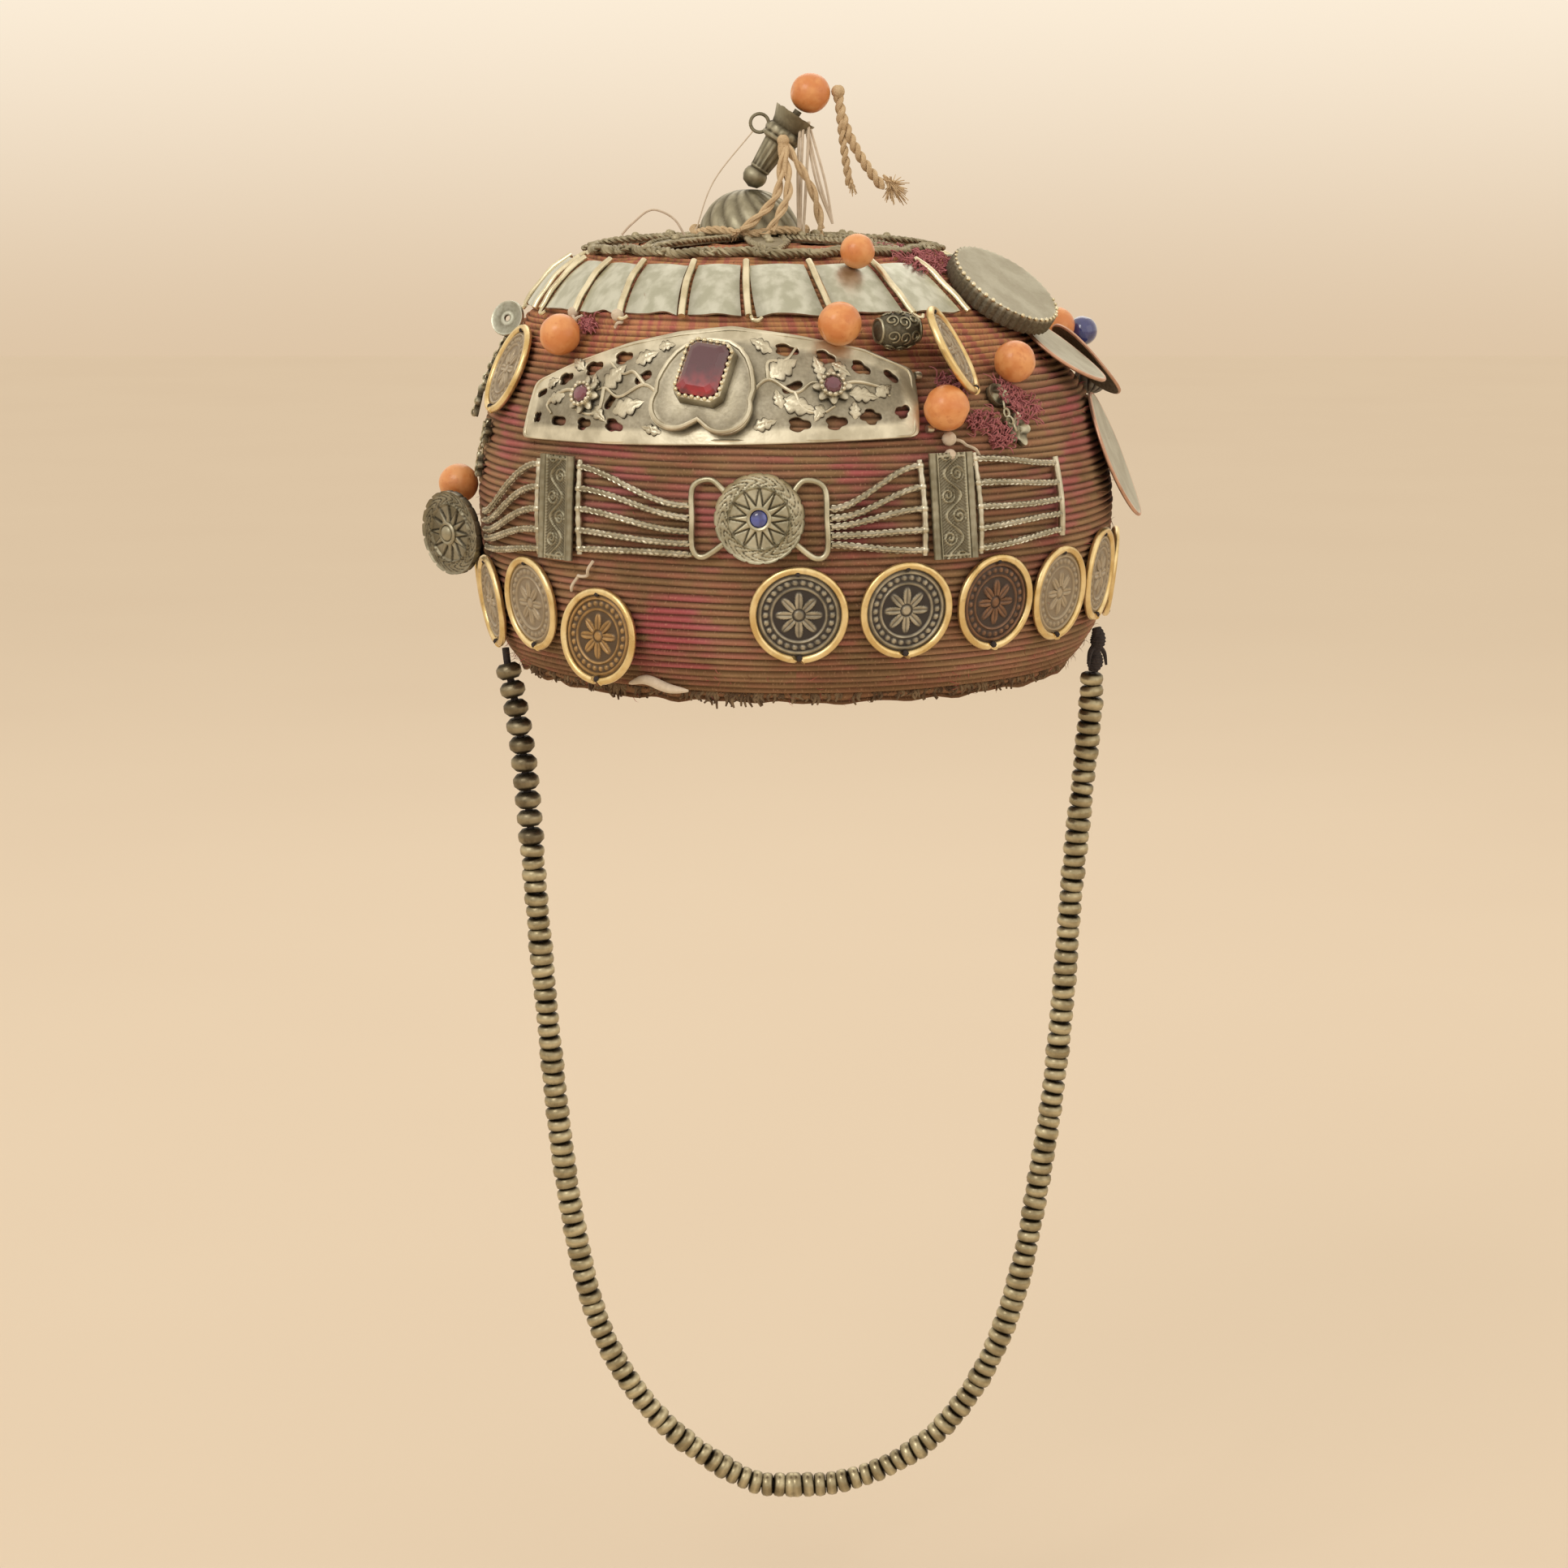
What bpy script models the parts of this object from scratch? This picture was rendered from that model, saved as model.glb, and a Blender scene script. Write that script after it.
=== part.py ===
"""Wool cap wound from cord, sewn over with silver ornaments, with a beaded chin strap."""

import math

import bmesh
import bpy
from mathutils import Matrix, Vector

# Driving sizes in millimetres and degrees
MM = 0.001
HEAD_TOP = 111.0          # height above the rim where the head meets the crown inside
WALL = 3.5                # thickness of the wound wool
DEPTH_RATIO = 1.1         # front to back size over side to side size
GAP = 0.35                # room between two pieces that touch
SIDES = 34                # facets round the cap

# Height above the rim, half width, and centre, which slumps to one side at the crown
CAP_SECTIONS = (
    (0.0, 77.0, 0.0),
    (6.0, 81.5, 0.3),
    (16.0, 85.5, 0.5),
    (42.0, 88.0, 0.5),
    (57.0, 86.8, 0.0),
    (70.5, 83.5, -1.0),
    (81.0, 78.5, -2.5),
    (92.0, 71.0, -4.5),
    (102.5, 61.5, -7.0),
    (108.5, 54.0, -8.0),
    (112.0, 46.0, -8.6),
    (113.6, 36.0, -9.0),
    (114.3, 18.0, -9.0),
    (114.5, 0.0, -9.0),
)
LAST = len(CAP_SECTIONS) - 1
WIDEST = 3

# Coins round the rim: angle, height, outward tip of the lower edge, turn in the plane
COIN_RADIUS = 12.6
COIN_LIFT = 0.2
COINS = (
    (-72.0, 18.6, 0.0, 0.0),
    (-53.5, 21.4, 0.0, 0.0),
    (-35.5, 16.4, 12.0, -25.0),
    (0.5, 23.6, 0.0, 0.0),
    (18.7, 24.4, 0.0, 0.0),
    (35.9, 24.8, 0.0, 0.0),
    (52.2, 24.8, 0.0, 0.0),
    (68.4, 27.0, 0.0, 0.0),
)
FAR_COINS = 11
FAR_COIN_FIRST = 87.0
FAR_COIN_STEP = 18.4

# Plate band round the shoulder: where its upright rods stand
RODS = (-65.0, -50.0, -36.0, -20.0, -5.0, 13.0, 32.0, 49.0)
BAND_LOW = 97.2
BAND_HIGH = 109.2
ROD_RADIUS = 0.9
FAR_RODS = 11
FAR_ROD_FIRST = 91.0
FAR_ROD_STEP = 19.9

# Pierced arch plate: angle and height of its corners and of the points on its arch
ARCH_OUTLINE = (
    (-55.0, 64.9),
    (-33.0, 65.2),
    (-11.0, 66.0),
    (6.0, 66.8),
    (22.0, 67.6),
    (25.0, 83.4),
    (17.0, 88.6),
    (4.0, 92.2),
    (-9.0, 94.4),
    (-20.0, 93.0),
    (-31.0, 90.0),
    (-43.0, 85.0),
    (-54.0, 79.0),
)
ARCH_LIFT = 0.7
ARCH_THICK = 1.2
# Openings of the plate: angle, height, length, width, turn, number of sides
ARCH_HOLES = (
    (-51.0, 76.4, 3.8, 2.2, 25.0, 4),
    (-51.0, 70.4, 3.4, 2.8, 45.0, 4),
    (-45.2, 80.4, 5.2, 3.2, 20.0, 5),
    (-45.0, 70.0, 5.0, 3.2, 0.0, 4),
    (-38.6, 83.4, 6.0, 3.6, 20.0, 4),
    (-38.8, 69.8, 4.4, 3.4, 10.0, 5),
    (-33.4, 75.6, 4.6, 2.6, 60.0, 4),
    (-32.0, 86.2, 5.6, 3.4, 14.0, 4),
    (-32.2, 69.8, 5.4, 3.4, -15.0, 5),
    (-27.0, 81.6, 5.0, 3.0, 35.0, 4),
    (1.2, 88.6, 6.4, 3.2, -8.0, 5),
    (1.4, 71.0, 5.4, 3.8, 0.0, 4),
    (1.2, 79.8, 5.4, 2.6, 25.0, 4),
    (8.4, 86.8, 5.2, 3.6, -15.0, 5),
    (7.8, 71.4, 5.4, 3.6, 10.0, 5),
    (14.6, 84.2, 5.0, 3.6, -28.0, 4),
    (14.0, 72.6, 5.2, 4.0, 0.0, 5),
    (20.0, 82.0, 3.8, 2.6, -50.0, 4),
    (20.0, 73.6, 4.4, 3.0, 35.0, 4),
)
# Cast leaves that stand up from the plate: angle, height, length, width, turn
ARCH_LEAVES = (
    (-33.0, 81.4, 7.5, 3.4, 50.0),
    (-29.4, 74.4, 8.0, 3.4, 20.0),
    (0.0, 84.2, 8.0, 3.4, 30.0),
    (1.8, 75.2, 8.0, 3.4, -20.0),
)
HEART = (-14.4, 79.2)
FLOWER_LEFT = (-39.0, 76.4)
FLOWER_RIGHT = (8.2, 79.4)

# Bracelet of bars, bundles of chain and a medallion
BAR_WIDE = 12.6
BAR_TALL = 27.0
BAR_LEFT = (-44.0, 48.4)
BAR_RIGHT = (26.6, 50.4)
MEDALLION = (-6.0, 48.2)
MEDALLION_RADIUS = 11.5
LOOP_LEFT = -17.2
LOOP_RIGHT = 4.9
CHAIN_RADIUS = 0.9
# Height of each chain where it leaves the bar and where it ends
LEFT_INNER = ((59.2, 51.0), (53.6, 48.0), (48.6, 44.6), (43.2, 41.6), (38.4, 38.8))
RIGHT_INNER = ((60.6, 50.6), (55.4, 48.4), (50.0, 46.2), (44.8, 44.0), (39.8, 41.8))
LEFT_OUTER = ((58.8, 43.6), (53.0, 41.2), (47.4, 38.8), (42.0, 36.4), (37.0, 34.0))
RIGHT_OUTER = ((61.6, 58.8), (55.6, 53.8), (49.8, 49.6), (44.4, 45.8), (39.4, 41.8))
OUTER_LEFT_END = -70.2
OUTER_RIGHT_END = 51.0
# Radius and height of the turned medallion and of a coin in its wire rim
MEDALLION_PROFILE = (
    (0, 0),
    (MEDALLION_RADIUS, 0),
    (MEDALLION_RADIUS - 0.5, 1.6),
    (7.0, 1.4),
    (3.6, 1.8),
    (3.3, 2.8),
    (1.7, 3.6),
    (0, 3.6),
)
COIN_PROFILE = (
    (0, 0),
    (COIN_RADIUS, 0.3),
    (COIN_RADIUS - 0.8, 2.1),
    (COIN_RADIUS - 2.2, 1.2),
    (0, 1.2),
)

# Loose discs and coins: angle, height, lift of the middle, tip, swing of the left edge
SERRATED = (65.0, 98.8, 2.3, 4.0, -8.0)
SERRATED_RADIUS = 16.0
SCALE_UPPER = (73.0, 84.4, 2.4, 15.0, 0.0)
SCALE_MIDDLE = (91.0, 78.6, 3.8, 8.0, 11.0)
SCALE_LOWER = (79.0, 57.0, 1.7, 11.0, 0.0)
UPPER_COIN_LEFT = (-68.6, 81.4, 0.6, 0.0, 0.0)
UPPER_COIN_RIGHT = (31.2, 84.4, 7.2, 0.0, 38.0)
HOLED_COIN = (-80.5, 92.0, 4.0, 0.0, 50.0)
MEDALLION_LEFT = (-77.5, 37.2, 7.9, 0.0, 34.0)

# Coral beads on the wool: angle, height, radius, extra lift
CORAL_BEADS = (
    (-47.0, 89.2, 5.5, 0.0),
    (11.9, 91.8, 5.6, 0.8),
    (46.2, 82.0, 5.6, 0.0),
    (26.6, 72.6, 5.8, 0.0),
    (103.0, 86.6, 5.4, 0.0),
    (-84.0, 48.6, 5.4, -0.15),
)
# The bead on the crown: angle, distance from the centre, radius
CROWN_BEAD = (25.0, 54.2, 4.6)

# Chin strap of metal disc beads: points of its route below the rim
STRAP_DEPTH = -17.0
LEFT_ROUTE = (
    (-79.8, 3.9),
    (-79.2, -1.2),
    (-77.6, -10.0),
    (-75.4, -25.0),
    (-73.9, -42.0),
    (-72.3, -65.0),
    (-69.9, -95.5),
    (-66.2, -135.6),
    (-62.4, -163.0),
    (-57.4, -186.0),
    (-50.0, -204.0),
    (-38.0, -220.5),
    (-24.0, -232.0),
    (-11.0, -239.2),
    (-0.7, -240.0),
)
RIGHT_ROUTE = (
    (82.4, -3.0),
    (82.2, -13.0),
    (80.1, -37.0),
    (77.6, -65.0),
    (75.7, -95.5),
    (73.1, -123.8),
    (69.5, -149.0),
    (65.2, -173.9),
    (59.7, -193.3),
    (51.7, -210.4),
    (40.2, -225.0),
    (26.5, -234.4),
    (12.0, -239.3),
    (0.7, -240.0),
)
BEAD_RADIUS = 3.4         # the string of small disc beads
STRING_STEP = 17.0        # a point of the string's tube every so far
BIG_RADIUS = 3.6          # the larger beads at the top of the left side
BEAD_WAIST = 2.3
BIG_PITCH = 4.7
BIG_BEADS = 11
LEFT_TIE = 4.2            # thread above the first bead
TIE_RADIUS = 1.0
# Cloth that ties the right end: side position, height and radius along its knots
KNOT_ROUTE = (
    (83.5, 9.5, 1.2),
    (83.9, 6.0, 2.0),
    (83.6, 2.0, 1.6),
    (83.2, -0.8, 2.1),
    (82.7, -2.6, 1.4),
)
KNOT_RADIUS = 2.0

# Finial
FINIAL_X = -12.3
STEM_START = -10.7
STEM_LEAN = 34.0
STEM_LENGTH = 23.2


def clear_scene():
    for item in list(bpy.data.objects):
        bpy.data.objects.remove(item, do_unlink=True)


def finish(name, colour, roughness, metallic=0.0):
    """A material with one colour, roughness and metallic value."""
    material = bpy.data.materials.new(name)
    material.use_nodes = True
    shader = material.node_tree.nodes["Principled BSDF"]
    shader.inputs["Base Color"].default_value = (*colour, 1.0)
    shader.inputs["Roughness"].default_value = roughness
    shader.inputs["Metallic"].default_value = metallic
    return material


def section(place):
    """Height, half width and centre of the cap on a smooth curve through its sections."""
    place = min(max(place, 0.0), LAST - 1e-9)
    first = int(place)
    part = place - first

    def row(index):
        if index < 0:
            return [2 * a - b for a, b in zip(CAP_SECTIONS[0], CAP_SECTIONS[1])]
        if index > LAST:
            height, half, centre = CAP_SECTIONS[LAST - 1]
            return [height, -half, centre]
        return CAP_SECTIONS[index]

    rows = [row(first + step) for step in (-1, 0, 1, 2)]
    result = []
    for a, b, c, d in zip(*rows):
        bend = 2 * a - 5 * b + 4 * c - d
        twist = -a + 3 * b - 3 * c + d
        result.append(0.5 * (2 * b + (c - a) * part + bend * part**2 + twist * part**3))
    return result


def place_at(column, value, low, high):
    """The place on the profile where a column, height or half width, has this value."""
    rising = section(high)[column] > section(low)[column]
    for _ in range(40):
        middle = (low + high) / 2
        if (section(middle)[column] < value) == rising:
            low = middle
        else:
            high = middle
    return (low + high) / 2


def skin(angle, place):
    """A point of the cap's outer surface, angle 0 at the near side and + to the right."""
    height, half, centre = section(place)
    turn = math.radians(angle)
    across = centre + half * math.sin(turn)
    along = -half * DEPTH_RATIO * math.cos(turn)
    return Vector((across, along, height - HEAD_TOP)) * MM


def skin_frame(angle, place, lift):
    """A frame on the surface with X to the right, Y up the slope and Z outwards."""
    here = skin(angle, place)
    right = (skin(angle + 0.1, place) - here).normalized()
    upward = skin(angle, min(place + 0.01, LAST - 0.01)) - here
    outward = right.cross(upward).normalized()
    upward = outward.cross(right)
    frame = Matrix((right, upward, outward)).transposed().to_4x4()
    frame.translation = here + outward * lift * MM
    return frame


def level(height):
    return place_at(0, height, 0.0, LAST - 0.001)


def ring(radius):
    return place_at(1, radius, WIDEST, LAST)


def on_cap(angle, height, lift):
    return skin_frame(angle, level(height), lift).translation


def seat(angle, height, lift=GAP, roll=0.0, tip=0.0, swing=0.0):
    """A frame on the cap; tip moves the lower edge out and swing the left edge."""
    turn = Matrix.Rotation(math.radians(roll), 4, "Z")
    turn = Matrix.Rotation(math.radians(-tip), 4, "X") @ turn
    turn = Matrix.Rotation(math.radians(swing), 4, "Y") @ turn
    return skin_frame(angle, level(height), lift) @ turn


def degrees_per_mm(angle, height):
    step = (skin(angle + 0.5, level(height)) - skin(angle - 0.5, level(height))).length
    return MM / step


def add_object(name, mesh, material, frame=None):
    item = bpy.data.objects.new(name, mesh)
    bpy.context.scene.collection.objects.link(item)
    if material:
        item.data.materials.clear()
        item.data.materials.append(material)
    if frame:
        item.matrix_world = frame
    return item


def mesh_from(name, shape):
    mesh = bpy.data.meshes.new(name)
    shape.to_mesh(mesh)
    shape.free()
    return mesh


def smooth(item):
    item.data.shade_smooth()
    item.data.set_sharp_from_angle(angle=math.radians(35))


def turned(name, profile, sides, material, frame=None, ray_ring=None, ray=0.0):
    """A profile of radius and height, bottom to top, turned about Z; one ring may be rayed."""
    shape = bmesh.new()
    rim = [shape.verts.new((radius * MM, 0, height * MM)) for radius, height in profile]
    edges = [shape.edges.new(pair) for pair in zip(rim, rim[1:])]
    bmesh.ops.spin(shape, geom=rim + edges, cent=(0, 0, 0), axis=(0, 0, 1),
                   angle=math.tau, steps=sides, use_merge=True)
    bmesh.ops.remove_doubles(shape, verts=shape.verts, dist=1e-6)
    if ray_ring is not None:
        radius, height = profile[ray_ring]
        for vert in shape.verts:
            flat = math.hypot(vert.co.x, vert.co.y)
            if abs(flat - radius * MM) < 1e-6 and abs(vert.co.z - height * MM) < 1e-6:
                turn = math.atan2(vert.co.y, vert.co.x) / math.tau * sides
                vert.co.z += ray * MM * (round(turn) % 2)
    bmesh.ops.recalc_face_normals(shape, faces=shape.faces)
    item = add_object(name, mesh_from(name, shape), material, frame)
    smooth(item)
    return item


def ball(name, radius, material, frame, sides=10, rows=5, stretch=1.0):
    angles = [math.pi * step / rows - math.pi / 2 for step in range(rows + 1)]
    profile = [(abs(radius * math.cos(a)) if 0 < i < rows else 0.0, radius * stretch * math.sin(a))
               for i, a in enumerate(angles)]
    return turned(name, profile, sides, material, frame)


def prism(name, outline, low, high, material, frame=None):
    """A flat outline extruded from one height to another."""
    shape = bmesh.new()
    face = shape.faces.new([shape.verts.new((x * MM, y * MM, low * MM)) for x, y in outline])
    moved = bmesh.ops.extrude_face_region(shape, geom=[face])["geom"]
    tops = [part for part in moved if isinstance(part, bmesh.types.BMVert)]
    bmesh.ops.translate(shape, verts=tops, vec=(0, 0, (high - low) * MM))
    bmesh.ops.recalc_face_normals(shape, faces=shape.faces)
    return add_object(name, mesh_from(name, shape), material, frame)


def evaluated(item):
    """The object's mesh with its modifiers and its place worked in."""
    view = item.evaluated_get(bpy.context.evaluated_depsgraph_get())
    mesh = bpy.data.meshes.new_from_object(view)
    mesh.transform(item.matrix_world)
    return mesh


def fuse(name, items, material):
    """One solid from objects that run into each other."""
    bpy.context.view_layer.update()
    base = add_object(name + "_base", evaluated(items[0]), material)
    for other in items[1:]:
        cutter = add_object(name + "_part", evaluated(other), material)
        join = base.modifiers.new("join", "BOOLEAN")
        join.operation = "UNION"
        join.solver = "EXACT"
        join.object = cutter
        bpy.context.view_layer.update()
        mesh = evaluated(base)
        base.modifiers.remove(join)
        base.data = mesh
        bpy.data.objects.remove(cutter)
    for item in items:
        bpy.data.objects.remove(item)
    base.name = name
    return base


def tube(name, points, radius, material, resolution=1, radii=None, closed=False):
    """A round rod or cord through points, as a bevelled curve with filled ends."""
    curve = bpy.data.curves.new(name, "CURVE")
    curve.dimensions = "3D"
    curve.bevel_depth = radius * MM
    curve.bevel_resolution = resolution
    curve.use_fill_caps = not closed
    curve.twist_mode = "MINIMUM"
    line = curve.splines.new("POLY")
    line.use_cyclic_u = closed
    line.points.add(len(points) - 1)
    for index, (knot, point) in enumerate(zip(line.points, points)):
        knot.co = (*point, 1.0)
        knot.radius = radii[index] / radius if radii else 1.0
    return add_object(name, curve, material)


def ease(part):
    return part * part * (3 - 2 * part)


def wrapped(name, outline, holes, lift, thick, material, step=6.0, rise=None):
    """A sheet drawn in angle and height, laid on the cap and given its thickness."""
    shape = bmesh.new()
    edges = []
    for loop in (outline, *holes):
        verts = [shape.verts.new((angle, height, 0)) for angle, height in loop]
        edges += [shape.edges.new((a, b)) for a, b in zip(verts, verts[1:] + verts[:1])]
    bmesh.ops.triangle_fill(shape, edges=edges, use_beauty=True)
    first = min(angle for angle, _ in outline)
    last = max(angle for angle, _ in outline)
    cuts = [((first + step * k, 0, 0), (1, 0, 0)) for k in range(1, int((last - first) / step) + 1)]
    cuts += [((0, height, 0), (0, 1, 0)) for height in (rise or ())]
    for point, normal in cuts:
        bmesh.ops.bisect_plane(shape, geom=shape.verts[:] + shape.edges[:] + shape.faces[:],
                               plane_co=point, plane_no=normal, dist=1e-4)
    for vert in shape.verts:
        vert.co = on_cap(vert.co.x, vert.co.y, lift)
    shape.normal_update()
    middle = on_cap((first + last) / 2, outline[0][1], 0)
    outward = Vector((middle.x, middle.y, 0))
    if sum(face.normal.dot(outward) * face.calc_area() for face in shape.faces) < 0:
        bmesh.ops.reverse_faces(shape, faces=shape.faces)
    item = add_object(name, mesh_from(name, shape), material)
    wall = item.modifiers.new("thickness", "SOLIDIFY")
    wall.thickness = thick * MM
    wall.offset = 1.0
    wall.use_even_offset = True
    return item


def make_cap(wool):
    """The hollow cap: rings of its sections closed at the crown, with an open rim."""
    shape = bmesh.new()
    angles = [360.0 * k / SIDES for k in range(SIDES)]
    rings = [[shape.verts.new(skin(angle, row)) for angle in angles] for row in range(LAST)]
    for low, high in zip(rings, rings[1:]):
        for k in range(SIDES):
            after = (k + 1) % SIDES
            shape.faces.new((low[k], low[after], high[after], high[k]))
    top = shape.verts.new(skin(0, LAST))
    for k in range(SIDES):
        shape.faces.new((rings[-1][k], rings[-1][(k + 1) % SIDES], top))
    item = add_object("cap_shell", mesh_from("cap_shell", shape), wool)
    wall = item.modifiers.new("wool thickness", "SOLIDIFY")
    wall.thickness = WALL * MM
    wall.offset = -1.0
    wall.use_even_offset = True
    smooth(item)


def make_crown_star(metal):
    """Flat straps that run from under the finial over the top to the shoulder."""
    arms = 8
    stations = ((15.0, 10.4), (22.0, 9.5), (33.0, 10.0), (40.0, 7.0), (44.5, 3.0))
    shape = bmesh.new()

    def point(angle, radius):
        frame = skin_frame(angle, ring(radius), GAP)
        return shape.verts.new(frame.translation)

    middle = shape.verts.new(skin(0, LAST) + Vector((0, 0, GAP * MM)))
    hub = []
    for arm in range(arms):
        turn = 360.0 * arm / arms + 4.0
        rails = []
        for radius, width in stations:
            spread = math.degrees(width / 2 / radius)
            rails.append((point(turn - spread, radius), point(turn + spread, radius)))
        for (a, b), (c, d) in zip(rails, rails[1:]):
            shape.faces.new((a, b, d, c))
        hub += list(rails[0])
        shape.faces.new((middle, rails[0][1], rails[0][0]))
    for arm in range(arms):
        shape.faces.new((middle, hub[(2 * arm + 2) % len(hub)], hub[2 * arm + 1]))
    bmesh.ops.recalc_face_normals(shape, faces=shape.faces)
    if sum(face.normal.z for face in shape.faces) < 0:
        bmesh.ops.reverse_faces(shape, faces=shape.faces)
    item = add_object("crown_star", mesh_from("crown_star", shape), metal)
    wall = item.modifiers.new("thickness", "SOLIDIFY")
    wall.thickness = 1.4 * MM
    wall.offset = 1.0
    wall.use_even_offset = True


def make_finial(metal, coral, cord):
    """A fluted dome, a leaning stem with a cup, a coral bead, cords and a tassel."""
    foot = CAP_SECTIONS[LAST][0] - HEAD_TOP + GAP + 1.4 + 0.3
    dome_height = 12.2
    dome = ((0, 0), (13.4, 0), (13.9, 1.2), (12.9, 4.6), (10.6, 8.0), (7.2, 10.6),
            (3.6, 11.9), (0, dome_height))
    base = Matrix.Translation(Vector((FINIAL_X, 0, foot)) * MM)
    turned("finial_dome", dome, 16, metal, base)
    knuckle = 3.4
    lean = Matrix.Rotation(math.radians(STEM_LEAN), 4, "Y")
    start = Vector((STEM_START, 0, foot + dome_height + 0.2 + knuckle)) * MM
    stem_frame = Matrix.Translation(start) @ lean @ Matrix.Translation((0, 0, -knuckle * MM))
    peg = STEM_LENGTH + 1.4
    profile = ((0, 0), (2.3, 0.8), (knuckle, knuckle), (2.7, 5.6), (3.7, 14.0), (5.2, 14.8),
               (5.2, 17.8), (4.5, 18.6), (6.2, STEM_LENGTH), (1.1, 21.6), (1.1, peg), (0, peg))
    stem = turned("stem", profile, 10, metal, stem_frame)
    eye_middle = stem_frame @ (Vector((-7.0, 0, 15.9)) * MM)
    eye_radius = 2.5
    eye = []
    for k in range(8):
        turn = math.tau * k / 8
        eye.append(eye_middle + Vector((math.cos(turn), 0, math.sin(turn))) * eye_radius * MM)
    wire = tube("eye", eye, 0.55, metal, closed=True)
    fuse("finial_stem", [stem, wire], metal)
    bead_middle = stem_frame @ (Vector((0, 0, peg + GAP + 5.4)) * MM)
    turn = lean.to_euler().to_matrix().to_4x4()
    ball("finial_bead", 5.4, coral, Matrix.Translation(bead_middle) @ turn)
    make_tassel(bead_middle, cord)
    make_finial_cords(stem_frame, foot, cord)


def make_tassel(bead_middle, cord):
    """Two twisted tails with frayed ends that hang from a knot beside the bead."""
    start = bead_middle + Vector((7.6, 0, 0.4)) * MM
    knot = ball("knot", 1.9, cord, Matrix.Translation(start), 8, 4)
    tails = []
    for side, drop, spread in ((1.2, 25.0, 1.3), (10.5, 26.0, 2.6)):
        points = []
        for k in range(5):
            part = k / 4
            shift = Vector((2.0 * part + side * part * part, -0.6 * part, -drop * part))
            points.append(start + shift * MM)
        radii = [1.0, 1.1, 1.1, 1.15, spread]
        tails.append(tube("tail", points, 1.0, cord, 2, radii))
    fuse("finial_tassel", [knot, *tails], cord)


def make_finial_cords(stem_frame, foot, cord):
    """Cords from a knot at the collar, over the front of the dome, to its foot."""
    knot_place = stem_frame @ (Vector((1.0, -6.8, 15.6)) * MM)
    knot = ball("knot", 1.7, cord, Matrix.Translation(knot_place), 8, 4)
    ends = (
        ((-4.4, -11.6, 12.0), (-9.2, -15.6, 5.5), (-14.5, -17.6, 1.4)),
        ((-1.6, -12.2, 12.0), (-4.2, -16.2, 5.5), (-6.6, -17.8, 1.4)),
        ((4.0, -8.6, 14.0), (6.4, -7.6, 7.0), (7.4, -7.0, 1.4)),
    )
    locks = []
    for route in ends:
        points = [knot_place] + [Vector((x, y, foot + z)) * MM for x, y, z in route]
        locks.append(tube("lock", points, 1.1, cord, 1))
    fuse("finial_cords", [knot, *locks], cord)


def rod(name, angle, low, high, radius, metal, lift):
    heights = [low + (high - low) * k / 3 for k in range(4)]
    return tube(name, [on_cap(angle, height, lift) for height in heights], radius, metal)


def make_strip(name, rods, ends_at_rod, metal):
    """Plates with a raised rod beside each, as one ribbed strip that follows the cap."""
    back, face, crest = 0.65, 1.5, 2.1
    columns = []
    for index, angle in enumerate(rods):
        scale = degrees_per_mm(angle, BAND_HIGH)
        last = index == len(rods) - 1
        if last and not ends_at_rod:
            columns.append((angle - (ROD_RADIUS + GAP) * scale, face))
            break
        columns.append((angle - ROD_RADIUS * scale, face))
        columns.append((angle - ROD_RADIUS / 2 * scale, crest))
        columns.append((angle + ROD_RADIUS / 2 * scale, crest))
        columns.append((angle + ROD_RADIUS * scale, face))
        if not last:
            columns.append(((angle + rods[index + 1]) / 2, face))
    shape = bmesh.new()
    rings = []
    for height in (BAND_LOW, (BAND_LOW + BAND_HIGH) / 2, BAND_HIGH):
        outer = [shape.verts.new(on_cap(angle, height, lift)) for angle, lift in columns]
        inner = [shape.verts.new(on_cap(angle, height, back)) for angle, _ in columns]
        rings.append((outer, inner))
    for (outer, inner), (outer_next, inner_next) in zip(rings, rings[1:]):
        for k in range(len(columns) - 1):
            shape.faces.new((outer[k], outer[k + 1], outer_next[k + 1], outer_next[k]))
            shape.faces.new((inner[k + 1], inner[k], inner_next[k], inner_next[k + 1]))
        for k in (0, -1):
            shape.faces.new((outer[k], inner[k], inner_next[k], outer_next[k]))
    for outer, inner in (rings[0], rings[-1]):
        for k in range(len(columns) - 1):
            shape.faces.new((outer[k], outer[k + 1], inner[k + 1], inner[k]))
    bmesh.ops.recalc_face_normals(shape, faces=shape.faces)
    add_object(name, mesh_from(name, shape), metal)


def make_band(metal):
    """Silver plates side by side, each with the bright rod of its hinge."""
    for index, pair in enumerate(zip(RODS, RODS[1:])):
        make_strip("band_plate_%d" % (index + 1), pair, index == len(RODS) - 2, metal)
    far = [FAR_ROD_FIRST + FAR_ROD_STEP * k for k in range(FAR_RODS)]
    make_strip("band_far", far, True, metal)


def patch(angle, height, length, width, turn, sides, pointed=False):
    """A small outline in angle and height from sizes in millimetres."""
    scale = degrees_per_mm(angle, height)
    slope = 0.85
    points = []
    for k in range(sides):
        bearing = math.tau * (k + 0.5) / sides
        across = length / 2 * math.cos(bearing)
        along = width / 2 * math.sin(bearing)
        if pointed:
            across = length / 2 * math.cos(math.tau * k / sides)
            along = width / 2 * math.sin(math.tau * k / sides)
        spin = math.radians(turn)
        x = across * math.cos(spin) - along * math.sin(spin)
        y = across * math.sin(spin) + along * math.cos(spin)
        points.append((angle + x * scale, height + y * slope))
    return points


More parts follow.
